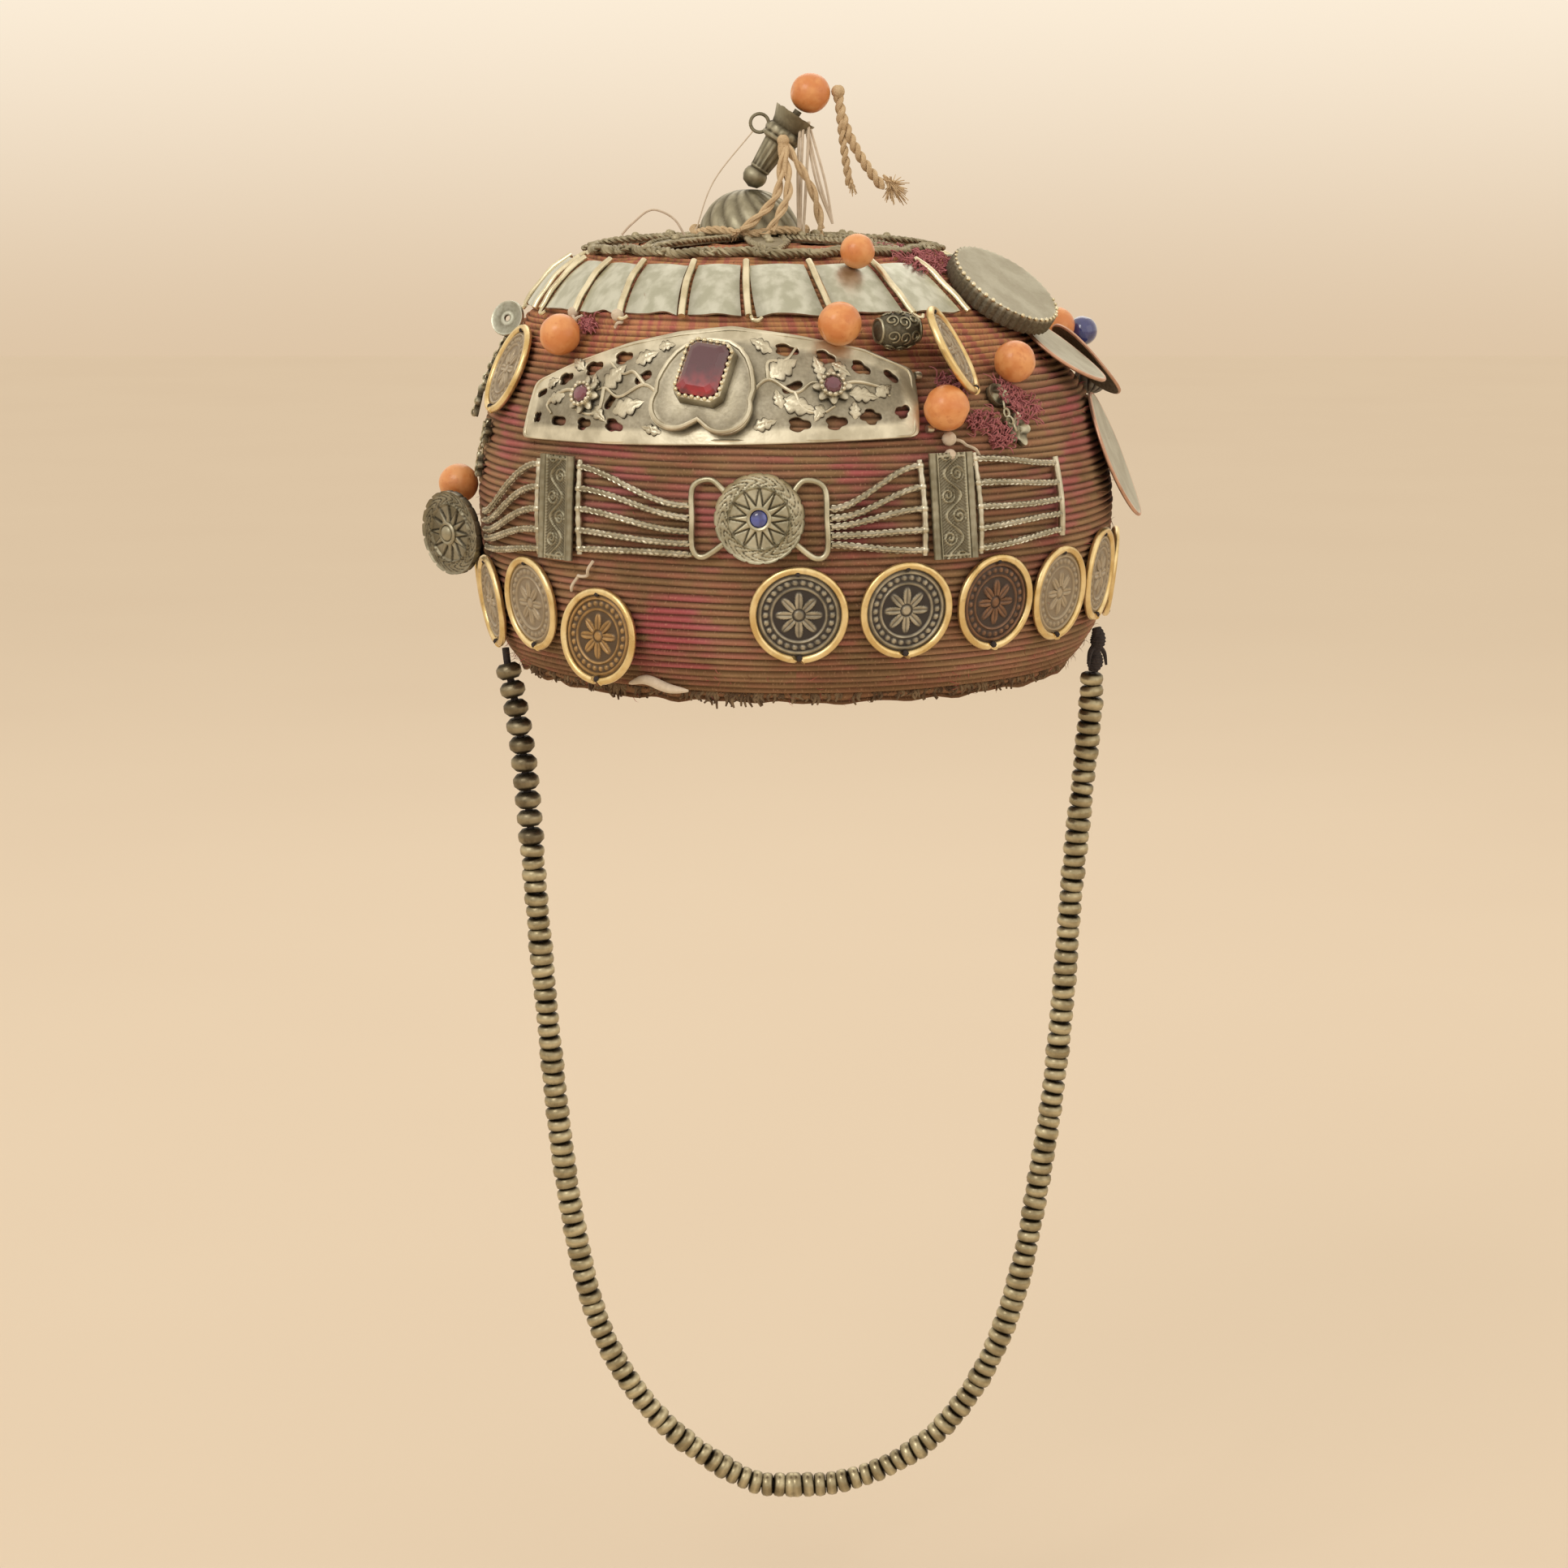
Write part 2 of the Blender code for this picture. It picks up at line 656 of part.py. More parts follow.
def make_arch_plate(metal):
    """The arched plate, pierced between cast leaves."""
    holes = [patch(*row) for row in ARCH_HOLES]
    plate = wrapped("plate", ARCH_OUTLINE, holes, ARCH_LIFT, ARCH_THICK, metal, 11.0, (76.0, 85.0))
    leaves = []
    for row in ARCH_LEAVES:
        outline = patch(*row, 6, True)
        leaves.append(wrapped("leaf", outline, (), ARCH_LIFT + 0.4, 1.5, metal, 20.0))
    fuse("arch_plate", [plate, *leaves], metal)


def make_heart(metal, red):
    """An upside down heart with a raised box setting, and the stone that it holds."""
    frame = seat(*HEART, ARCH_LIFT + ARCH_THICK + GAP, roll=-4.0)
    lobe_middle = (6.7, -5.8)
    lobe_radius = 7.0
    outline = [(0.0, -9.6)]
    for k in range(6):
        turn = math.radians(-116 + 28 * k)
        outline.append((lobe_middle[0] + lobe_radius * math.cos(turn),
                        lobe_middle[1] + lobe_radius * math.sin(turn)))
    outline += [(12.6, 2.6), (10.2, 8.2), (5.4, 13.0)]
    outline += [(-x, y) for x, y in reversed(outline[1:])]
    heart = prism("heart", outline, 0, 1.8, metal, frame)
    setting = frame @ Matrix.Translation(Vector((-0.4, 3.2, 0)) * MM)
    setting = setting @ Matrix.Rotation(math.radians(-5), 4, "Z")
    half_wide, half_tall, corner = 5.5, 7.4, 1.7

    def octagon(grow, cut=None):
        wide = half_wide + grow
        tall = half_tall + grow
        cut = corner if cut is None else cut
        quarter = ((wide, tall - cut), (wide - cut, tall))
        points = list(quarter)
        points += [(-x, y) for x, y in reversed(quarter)]
        points += [(-x, -y) for x, y in quarter]
        points += [(x, -y) for x, y in reversed(quarter)]
        return points

    box = prism("box", octagon(1.3), 1.0, 4.4, metal, setting)
    hollow = prism("hollow", octagon(0.35), 2.6, 6.0, metal, setting)
    hollow.hide_render = True
    hollow.display_type = "WIRE"
    cut = box.modifiers.new("seat for the stone", "BOOLEAN")
    cut.operation = "DIFFERENCE"
    cut.solver = "EXACT"
    cut.object = hollow
    fuse("heart_mount", [heart, box], metal)
    bpy.data.objects.remove(hollow)
    shape = bmesh.new()
    rings = []
    for grow, height in ((-1.6, 2.95), (0.0, 4.2), (0.0, 4.7), (-1.7, 6.2)):
        rings.append([shape.verts.new((x * MM, y * MM, height * MM))
                      for x, y in octagon(grow, max(0.9, corner + grow * 0.4))])
    for low, high in zip(rings, rings[1:]):
        for k in range(8):
            shape.faces.new((low[k], low[(k + 1) % 8], high[(k + 1) % 8], high[k]))
    shape.faces.new(rings[0][::-1])
    shape.faces.new(rings[-1])
    bmesh.ops.recalc_face_normals(shape, faces=shape.faces)
    add_object("red_stone", mesh_from("red_stone", shape), red, setting)


def make_flower(name, spot, metal):
    """A small flower setting with its round stone, seated on the arch plate."""
    frame = seat(*spot, ARCH_LIFT + ARCH_THICK + 0.4)
    outline = []
    for k in range(16):
        turn = math.tau * k / 16
        petal = 4.4 + 0.7 * math.cos(8 * turn)
        outline.append((petal * math.cos(turn), petal * math.sin(turn)))
    petals = prism("petals", outline, 0, 1.0, metal, frame)
    profile = ((0, 0.5), (2.9, 0.5), (2.9, 2.0), (1.7, 2.9), (0, 2.9))
    stone = turned("stone", profile, 10, metal, frame)
    fuse(name, [petals, stone], metal)


def make_medallions(metal):
    """The sunburst medallion with its wire loops, and the one that stands off at the left."""
    angle, height = MEDALLION
    disc = turned("disc", MEDALLION_PROFILE, 16, metal, seat(angle, height), 3, 0.6)
    low, high = 38.4, 57.6
    left = ((-11.4, 54.4), (-14.0, high), (LOOP_LEFT, 55.4), (LOOP_LEFT, 40.4), (-15.4, low),
            (-11.6, 42.2))
    right = ((-0.6, 54.4), (1.6, high), (LOOP_RIGHT, 55.6), (LOOP_RIGHT, 40.2), (3.0, low),
             (-0.4, 42.2))
    parts = [disc]
    for route in (left, right):
        points = [on_cap(a, h, 1.5) for a, h in route]
        parts.append(tube("loop", points, 0.7, metal, 1))
    fuse("medallion_centre", parts, metal)
    angle, height, lift, tip, swing = MEDALLION_LEFT
    frame = seat(angle, height, lift, 0, tip, swing)
    turned("medallion_left", MEDALLION_PROFILE, 16, metal, frame, 3, 0.6)


def make_bars(metal):
    """Upright bars with a rounded ridge along each side."""
    half = BAR_WIDE / 2
    profile = ((-half, 0), (half, 0), (half + 0.1, 1.4), (half - 0.8, 2.4), (half - 1.8, 1.8),
               (1.8 - half, 1.8), (0.8 - half, 2.4), (-half - 0.1, 1.4))
    for name, (angle, height) in (("bar_left", BAR_LEFT), ("bar_right", BAR_RIGHT)):
        frame = seat(angle, height) @ Matrix.Rotation(math.radians(90), 4, "X")
        prism(name, profile, -BAR_TALL / 2, BAR_TALL / 2, metal, frame)


def make_bundle(name, start, end, heights, metal, low, high, steps=3, closed=False):
    """Five chains that leave an end rod beside a bar and run together."""
    lift = GAP + 1.05
    parts = [rod("header", start, low, high, 1.0, metal, lift)]
    for first, last in heights:
        points = []
        for k in range(steps + 1):
            part = k / steps
            rise = first + (last - first) * ease(part)
            points.append(on_cap(start + (end - start) * part, rise, lift))
        parts.append(tube("chain", points, CHAIN_RADIUS, metal))
    if closed:
        parts.append(rod("clasp", end, heights[-1][1] - 1.5, heights[0][1] + 1.5, 1.1, metal, lift))
    fuse(name, parts, metal)


def make_bracelet(metal):
    away = BAR_WIDE / 2 + GAP + 1.5
    left = away * degrees_per_mm(*BAR_LEFT)
    right = away * degrees_per_mm(*BAR_RIGHT)
    room = (0.7 + GAP) * degrees_per_mm(0, 48)
    make_bundle("strands_left_inner", BAR_LEFT[0] + left, LOOP_LEFT - room, LEFT_INNER,
                metal, 37.0, 60.8)
    make_bundle("strands_right_inner", BAR_RIGHT[0] - right, LOOP_RIGHT + room, RIGHT_INNER,
                metal, 38.4, 62.0, 2)
    make_bundle("strands_left_outer", BAR_LEFT[0] - left, OUTER_LEFT_END, LEFT_OUTER,
                metal, 35.6, 60.2, 2)
    make_bundle("strands_right_outer", BAR_RIGHT[0] + right, OUTER_RIGHT_END, RIGHT_OUTER,
                metal, 38.0, 63.0, 2, True)


def make_coins(gold):
    """Coins in wire rims round the foot of the cap; the far ones hang on one cord."""
    for index, (angle, height, tip, roll) in enumerate(COINS):
        lift = COIN_LIFT + 0.6 * COIN_RADIUS * math.sin(math.radians(tip))
        turned("coin_%d" % (index + 1), COIN_PROFILE, 14, gold, seat(angle, height, lift, roll, tip))
    angles = [FAR_COIN_FIRST + FAR_COIN_STEP * k for k in range(FAR_COINS)]
    plain = ((0, 0), (COIN_RADIUS, 0), (COIN_RADIUS, 2.0), (0, 1.4))
    parts = [turned("coin", plain, 10, gold, seat(angle, 24.0, COIN_LIFT)) for angle in angles]
    for first, last in zip(angles, angles[1:]):
        middle = (first + last) / 2
        reach = FAR_COIN_STEP * 0.12
        ends = [on_cap(angle, 24.0, COIN_LIFT + 1.6) for angle in (middle - reach, middle + reach)]
        parts.append(tube("link", ends, 0.8, gold))
    fuse("coin_row_far", parts, gold)
    for name, row in (("upper_coin_left", UPPER_COIN_LEFT), ("upper_coin_right", UPPER_COIN_RIGHT)):
        angle, height, lift, tip, swing = row
        turned(name, COIN_PROFILE, 14, gold, seat(angle, height, lift, 0, tip, swing))


def make_discs(metal):
    """The thick serrated disc and the flat discs that overlap below it."""
    angle, height, lift, tip, swing = SERRATED
    outline = []
    for k in range(40):
        turn = math.tau * k / 40
        radius = SERRATED_RADIUS - 0.8 * (k % 2)
        outline.append((radius * math.cos(turn), radius * math.sin(turn)))
    prism("serrated_disc", outline, 0, 5.0, metal, seat(angle, height, lift, 0, tip, swing))
    rows = (("scale_disc_upper", SCALE_UPPER, 14.5), ("scale_disc_middle", SCALE_MIDDLE, 13.0),
            ("scale_disc_lower", SCALE_LOWER, 18.0))
    for name, (angle, height, lift, tip, swing), radius in rows:
        profile = ((0, 0), (radius, 0.2), (radius - 0.3, 1.2), (0, 1.2))
        turned(name, profile, 16, metal, seat(angle, height, lift, 0, tip, swing))
    angle, height, lift, tip, swing = HOLED_COIN
    hole, edge = 0.9, 5.0
    profile = ((hole, 0), (edge, 0), (edge, 1.2), (hole, 1.2), (hole, 0))
    turned("holed_coin_left", profile, 10, metal, seat(angle, height, lift, 0, tip, swing))


def make_beads(coral, dark, blue, filigree):
    """Coral beads, the filigree barrel, and the cluster of beads at the right."""
    for index, (angle, height, radius, extra) in enumerate(CORAL_BEADS):
        frame = seat(angle, height, radius + GAP + extra)
        ball("coral_bead_%d" % (index + 1), radius, coral, frame)
    angle, radius, size = CROWN_BEAD
    ball("coral_bead_7", size, coral, skin_frame(angle, ring(radius), size + GAP + 1.2))
    across = Matrix.Rotation(math.radians(90), 4, "Y")
    ball("filigree_bead", 5.2, filigree, seat(23.4, 90.6, 5.2 + GAP) @ across, 10, 5, 1.3)
    beside = Matrix.Translation(Vector((3.4, -7.1, 5.7)) * MM)
    ball("blue_bead", 4.2, blue, seat(103.0, 86.6, 5.4 + GAP) @ beside)
    ball("dark_bead", 4.8, dark, seat(101.1, 73.4, 4.8 + GAP))


def make_charms(metal):
    """Stamped charms that hang from short chains at both sides."""
    spots = ((-86.0, 85.0, 4.6, 0.8), (-86.5, 78.0, 5.0, 1.2), (-87.0, 70.5, 4.4, 2.0))
    stalk = [on_cap(-86.0 - 0.3 * k, 89.0 - 7.2 * k, 1.6 + 0.6 * k) for k in range(4)]
    parts = [tube("stalk", stalk, 1.0, metal)]
    for angle, height, radius, lift in spots:
        outline = [((radius - 1.3 * (k % 2)) * math.cos(math.tau * k / 10),
                    (radius - 1.3 * (k % 2)) * math.sin(math.tau * k / 10)) for k in range(10)]
        parts.append(prism("charm", outline, 0, 1.8, metal, seat(angle, height, lift, 0, 8, 0)))
    fuse("filigree_drop_left", parts, metal)
    chain = [on_cap(-73.5 - 1.5 * k, 66.5 - 4.6 * k, 1.3) for k in range(4)]
    parts = [tube("chain", chain, 0.9, metal)]
    for angle, height, radius in ((-74.0, 64.5, 3.6), (-77.0, 55.0, 3.2)):
        profile = ((0, 0), (radius, 0), (radius, 1.4), (0, 1.8))
        parts.append(turned("charm", profile, 8, metal, seat(angle, height)))
    fuse("charm_chain_left", parts, metal)
    oval = [(2.9 * math.cos(math.tau * k / 12), 4.3 * math.sin(math.tau * k / 12)) for k in range(12)]
    parts = [prism("oval", oval, 0, 1.4, metal, seat(41.5, 76.5))]
    parts.append(tube("link", [on_cap(41.6, h, 1.4) for h in (75.0, 72.0, 69.0)], 0.8, metal))
    flower = []
    for k in range(15):
        turn = math.tau * k / 15
        petal = 4.2 + 0.7 * math.cos(5 * turn)
        flower.append((petal * math.cos(turn), petal * math.sin(turn)))
    parts.append(prism("flower", flower, 0, 1.8, metal, seat(43.0, 68.0)))
    fuse("charm_chain_right", parts, metal)


def smooth_route(points):
    """A smooth curve through a route's own points, read by distance, and its length."""
    ends = [points[0] * 2 - points[1], *points, points[-1] * 2 - points[-2]]
    fine = []
    for a, b, c, d in zip(ends, ends[1:], ends[2:], ends[3:]):
        for k in range(24):
            part = k / 24
            bend = 2 * a - 5 * b + 4 * c - d
            twist = 3 * b - a - 3 * c + d
            fine.append(0.5 * (2 * b + (c - a) * part + bend * part**2 + twist * part**3))
    fine.append(points[-1])
    lengths = [0.0]
    for a, b in zip(fine, fine[1:]):
        lengths.append(lengths[-1] + (b - a).length)

    def at(distance):
        distance = min(max(distance, 0.0), lengths[-1])
        index = 1
        while lengths[index] < distance and index < len(fine) - 1:
            index += 1
        span = lengths[index] - lengths[index - 1]
        return fine[index - 1].lerp(fine[index], (distance - lengths[index - 1]) / span)

    return at, lengths[-1]


def make_strap(name, route, tie, big_count, metal):
    """Half the strap: the cord, its large beads with waists between, and the string of small ones."""
    points = [Vector((x, STRAP_DEPTH, z - HEAD_TOP)) * MM for x, z in route]
    at, length = smooth_route(points)
    spots = []
    radii = []
    if tie:
        spots.append(at(0.0))
        radii.append(TIE_RADIUS)
        spots.append(at(tie * MM))
        radii.append(TIE_RADIUS)
    for index in range(big_count):
        start = tie + BIG_PITCH * index
        spots.append(at((start + 0.02) * MM))
        radii.append(BEAD_WAIST)
        spots.append(at((start + BIG_PITCH / 2) * MM))
        radii.append(BIG_RADIUS)
    start = (tie + BIG_PITCH * big_count + 0.02) * MM
    steps = round((length - start) / (STRING_STEP * MM))
    for step in range(steps + 1):
        spots.append(at(start + (length - start) * step / steps))
        radii.append(BEAD_RADIUS)
    tube(name, spots, BEAD_RADIUS, metal, 3, radii)


def make_strap_knot(cord):
    """The dark cloth that ties the right end of the strap to the cap."""
    points = [Vector((x, STRAP_DEPTH, z - HEAD_TOP)) * MM for x, z, _ in KNOT_ROUTE]
    radii = [radius for _, _, radius in KNOT_ROUTE]
    tube("strap_knot_right", points, KNOT_RADIUS, cord, 2, radii)


def main():
    clear_scene()
    wool = finish("wool", (0.30, 0.12, 0.10), 0.95)
    silver = finish("aged_silver", (0.47, 0.45, 0.36), 0.42, 1.0)
    gold = finish("gold_wire", (0.66, 0.50, 0.22), 0.35, 1.0)
    coral = finish("coral", (0.68, 0.26, 0.08), 0.35)
    red = finish("red_glass", (0.36, 0.02, 0.06), 0.12)
    blue = finish("blue_glass", (0.05, 0.07, 0.30), 0.15)
    dark = finish("dark_bead", (0.08, 0.07, 0.07), 0.5)
    cord = finish("cotton_cord", (0.52, 0.42, 0.30), 0.9)
    cloth = finish("dark_cloth", (0.05, 0.05, 0.06), 0.9)
    brass = finish("strap_metal", (0.42, 0.38, 0.26), 0.4, 1.0)
    make_cap(wool)
    make_crown_star(silver)
    make_finial(silver, coral, cord)
    make_band(silver)
    make_arch_plate(silver)
    make_heart(silver, red)
    make_flower("flower_left", FLOWER_LEFT, silver)
    make_flower("flower_right", FLOWER_RIGHT, silver)
    make_medallions(silver)
    make_bars(silver)
    make_bracelet(silver)
    make_coins(gold)
    make_discs(silver)
    make_beads(coral, dark, blue, silver)
    make_charms(silver)
    make_strap("chin_strap_left", LEFT_ROUTE, LEFT_TIE, BIG_BEADS, brass)
    make_strap("chin_strap_right", RIGHT_ROUTE, 0.0, 0, brass)
    make_strap_knot(cloth)


main()
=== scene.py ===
# %% [markdown]
# This lesson dresses a round wool cap that is sewn over with silver, coins and coral, and has a
# chin strap of metal beads. Its solids come from the frame with their real sizes and places.
# They could be given better materials and kept, but their few facets would show. So each one is
# made again here, finer, in the same place, and the solid stays behind it for physics.

# %% Load the frame
import random
from math import cos, exp, pi, radians, sin, tau

import bmesh
import bpy
import numpy as np
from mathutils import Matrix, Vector, noise


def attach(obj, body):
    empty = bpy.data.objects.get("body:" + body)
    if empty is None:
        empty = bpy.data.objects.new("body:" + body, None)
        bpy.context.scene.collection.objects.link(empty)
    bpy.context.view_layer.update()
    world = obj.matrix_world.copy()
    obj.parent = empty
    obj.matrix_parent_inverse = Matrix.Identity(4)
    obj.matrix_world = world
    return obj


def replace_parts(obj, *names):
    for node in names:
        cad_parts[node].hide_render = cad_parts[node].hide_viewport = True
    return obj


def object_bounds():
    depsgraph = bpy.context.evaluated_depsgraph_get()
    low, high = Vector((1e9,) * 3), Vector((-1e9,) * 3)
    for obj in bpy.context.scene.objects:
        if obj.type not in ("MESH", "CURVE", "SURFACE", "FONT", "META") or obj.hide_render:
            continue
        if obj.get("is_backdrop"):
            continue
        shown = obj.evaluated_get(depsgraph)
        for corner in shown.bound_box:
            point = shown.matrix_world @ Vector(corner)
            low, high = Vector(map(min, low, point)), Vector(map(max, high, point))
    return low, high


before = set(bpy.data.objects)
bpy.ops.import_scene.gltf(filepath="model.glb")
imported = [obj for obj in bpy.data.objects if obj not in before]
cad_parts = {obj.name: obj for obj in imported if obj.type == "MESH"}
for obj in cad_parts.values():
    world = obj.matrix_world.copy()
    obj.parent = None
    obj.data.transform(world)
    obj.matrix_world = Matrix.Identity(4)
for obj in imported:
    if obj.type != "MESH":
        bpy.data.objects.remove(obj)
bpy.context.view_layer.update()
MM = 0.001
chance = random.Random(7)
print("solids in the frame:", len(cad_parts))

# %% [markdown]
# The cap is seen from a little above its crown, from a metre away, so a long lens is used. A large
# pale floor lies below the strap. Soft light from a wide lamp at the left and a wider, weaker one
# at the right keeps the metal from glaring, one behind lifts the edges, and a sky that is brighter
# above gives the metal something to mirror. The standard view transform is chosen, because the
# filmic one turns a cream backdrop grey.

# %% Camera, floor and light
CAMERA_PLACE = (-0.0028, -1.0, 0.034)
CAMERA_AIM = (-0.0028, 0.0, -0.1485)
CAMERA_LENS = 82.4
FLOOR_HEIGHT = -0.40
FLOOR_REACH = 6.0
# Lamps: name, place, size in metres, power in watts, colour
LAMPS = (
    ("key", (-0.75, -1.05, 0.95), 0.6, 5.6, (1.0, 0.97, 0.92)),
    ("fill", (1.1, -0.75, 0.35), 1.2, 1.8, (1.0, 0.96, 0.90)),
    ("back", (0.1, 1.2, 0.9), 1.0, 3.0, (1.0, 0.97, 0.93)),
)


def aim(item, target):
    """Points a camera or a lamp at a place."""
    way = Vector(target) - item.location
    item.rotation_euler = way.to_track_quat("-Z", "Y").to_euler()


def in_scene(name, data):
    """A new object, linked to the scene."""
    item = bpy.data.objects.new(name, data)
    bpy.context.scene.collection.objects.link(item)
    return item


def lamp(name, place, size, power, colour):
    light = bpy.data.lights.new(name, "AREA")
    light.size = size
    light.energy = power
    light.color = colour
    item = in_scene(name, light)
    item.location = place
    aim(item, (0.0, 0.0, -0.08))


camera = in_scene("camera", bpy.data.cameras.new("camera"))
camera.location = CAMERA_PLACE
camera.data.lens = CAMERA_LENS
camera.data.sensor_width = 36.0
camera.data.clip_start = 0.01
aim(camera, CAMERA_AIM)
bpy.context.scene.camera = camera
for row in LAMPS:
    lamp(*row)
bpy.context.scene.view_settings.view_transform = "Standard"
print("camera at", CAMERA_PLACE)

# %% [markdown]
# Every material and every geometry tree below is written as ordinary sums. A small class wraps one
# socket, and adding or multiplying it adds the Math node that does so. Writing the nodes out by
# hand would take three times the lines and hide what is worked out.

# %% Sums on sockets


class Link:
    """One output socket of a tree; a sum with it adds a Math node."""

    def __init__(self, tree, socket):
        self.tree = tree
        self.socket = socket

    def math(self, operation, *values):
        return self.tree.node("ShaderNodeMath", {"operation": operation}, values)

    def __add__(self, other):
        return self.math("ADD", self, other)

    def __sub__(self, other):
        return self.math("SUBTRACT", self, other)

    def __rsub__(self, other):
        return self.math("SUBTRACT", other, self)

    def __mul__(self, other):
        return self.math("MULTIPLY", self, other)

    def __truediv__(self, other):
        return self.math("DIVIDE", self, other)

    def __pow__(self, other):
        return self.math("POWER", self, other)

    __radd__ = __add__
    __rmul__ = __mul__

    def clamp(self):
        return self.tree.node("ShaderNodeClamp", {}, (self,))

    def between(self, low, high):
        """0 below low, 1 above high, and smooth in between."""
        values = {"Value": self, "From Min": low, "From Max": high}
        return self.tree.node("ShaderNodeMapRange", {"interpolation_type": "SMOOTHSTEP"}, values)

    def part(self, name):
        """Another output of the same node."""
        return Link(self.tree, self.socket.node.outputs[name])


class Tree:
    """A node tree in which any node is made from its type, its settings and its inputs."""

    def __init__(self, tree):
        self.tree = tree

    def node(self, kind, settings=None, inputs=(), out=0):
        made = self.tree.nodes.new(kind)
        for key, value in (settings or {}).items():
            setattr(made, key, value)
        pairs = inputs.items() if isinstance(inputs, dict) else enumerate(inputs)
        for key, value in pairs:
            if isinstance(value, Link):
                self.tree.links.new(value.socket, made.inputs[key])
            else:
                made.inputs[key].default_value = value
        return Link(self, made.outputs[out]) if made.outputs else made


def rgb(red, green, blue):
    """A colour as it looks on a screen, turned into the linear one that shaders use."""
    parts = [part / 255 for part in (red, green, blue)]
    linear = (part / 12.92 if part < 0.04 else ((part + 0.055) / 1.055) ** 2.4 for part in parts)
    return (*linear, 1.0)


class Finish(Tree):
    """A material, read in millimetres from the object's own coordinates."""

    def __init__(self, name, **values):
        self.material = bpy.data.materials.new(name)
        self.material.use_nodes = True
        super().__init__(self.material.node_tree)
        self.shader = self.tree.nodes["Principled BSDF"]
        self.set(values)
        place = self.node("ShaderNodeTexCoord", out="Object")
        self.place = self.scaled(place, 1000.0)

    def set(self, values):
        for key, value in values.items():
            socket = self.shader.inputs[key.replace("_", " ")]
            if isinstance(value, Link):
                self.tree.links.new(value.socket, socket)
            else:
                socket.default_value = value

    def scaled(self, vector, size):
        if isinstance(size, tuple):
            return self.node("ShaderNodeVectorMath", {"operation": "MULTIPLY"}, (vector, size))
        settings = {"operation": "SCALE"}
        return self.node("ShaderNodeVectorMath", settings, {"Vector": vector, "Scale": size})

    def noise(self, size, detail=2.0, vector=None):
        """Cloudy values whose clouds are about this many millimetres across."""
        values = {"Vector": vector or self.place, "Scale": 1.0 / size, "Detail": detail}
        return self.node("ShaderNodeTexNoise", {}, values)

    def mix(self, share, first, second):
        settings = {"data_type": "RGBA"}
        return self.node("ShaderNodeMix", settings, {0: share, 6: first, 7: second}, out=2)

    def attribute(self, name):
        return self.node("ShaderNodeAttribute", {"attribute_name": name}, out="Fac")

    def bump(self, height, distance, strength=1.0):
        values = {"Height": height, "Distance": distance * MM, "Strength": strength}
        self.set({"Normal": self.node("ShaderNodeBump", {}, values)})


pale = Finish("pale_floor", Roughness=0.9)
pale.set({"Base Color": pale.mix(pale.noise(300.0), rgb(213, 198, 179), rgb(217, 203, 184))})
floor_mesh = bpy.data.meshes.new("floor")
corners = [(x * FLOOR_REACH, y * FLOOR_REACH, FLOOR_HEIGHT)
           for x, y in ((-1, -1), (1, -1), (1, 1), (-1, 1))]
floor_mesh.from_pydata(corners, [], [(0, 1, 2, 3)])
floor_mesh.materials.append(pale.material)
in_scene("floor", floor_mesh)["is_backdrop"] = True

world = bpy.data.worlds.new("studio")
world.use_nodes = True
bpy.context.scene.world = world
sky = Tree(world.node_tree)
way = sky.node("ShaderNodeTexCoord", out="Generated")
rise = sky.node("ShaderNodeSeparateXYZ", {}, (way,), out="Z")
low_light = rgb(214, 190, 160)
high_light = rgb(249, 236, 216)
shade = sky.node("ShaderNodeMix", {"data_type": "RGBA"},
                 {0: rise.between(-0.075, 0.075), 6: low_light, 7: high_light}, out=2)
background = world.node_tree.nodes["Background"]
world.node_tree.links.new(shade.socket, background.inputs["Color"])
background.inputs["Strength"].default_value = 1.08
print("floor and sky made")

# %% [markdown]
# Meshes are collected in millimetres. Each point also keeps a relief value, from 0 in a recess to
# 1 on a high place. Old silver is dark in its recesses and rubbed bright where it stands up, and
# the materials read that value. It could be read from the shape by the renderer, but a value of
# the mesh also survives an export.
# The wool and the ribbed bead read it too, as painted shade in their grooves.

# %% A collector for pieces


def unit(vector):
    vector = np.asarray(vector, float)
    length = np.linalg.norm(vector, axis=-1, keepdims=True)
    return vector / np.where(length == 0, 1, length)


def carried(path, loop=False):
    """Two cross directions that travel along a path without twisting round it."""
    ahead = np.roll(path, -1, 0) if loop else np.vstack([path[1:], 2 * path[-1] - path[-2]])
    behind = np.roll(path, 1, 0) if loop else np.vstack([2 * path[0] - path[1], path[:-1]])
    ways = unit(ahead - behind)
    side = unit(np.cross(ways[0], (0.31, 0.17, 0.94)))
    sides = []
    for way in ways:
        side = unit(side - way * np.dot(side, way))
        sides.append(side)
    return np.array(sides), np.cross(ways, sides)


def faces_between(count, width, around):
    """Faces between rows of points; around joins the two ends of each row."""
    faces = []
    for row in range(count - 1):
        for k in range(width if around else width - 1):
            after = (k + 1) % width
            faces.append((row * width + k, row * width + after,
                          (row + 1) * width + after, (row + 1) * width + k))
    return faces


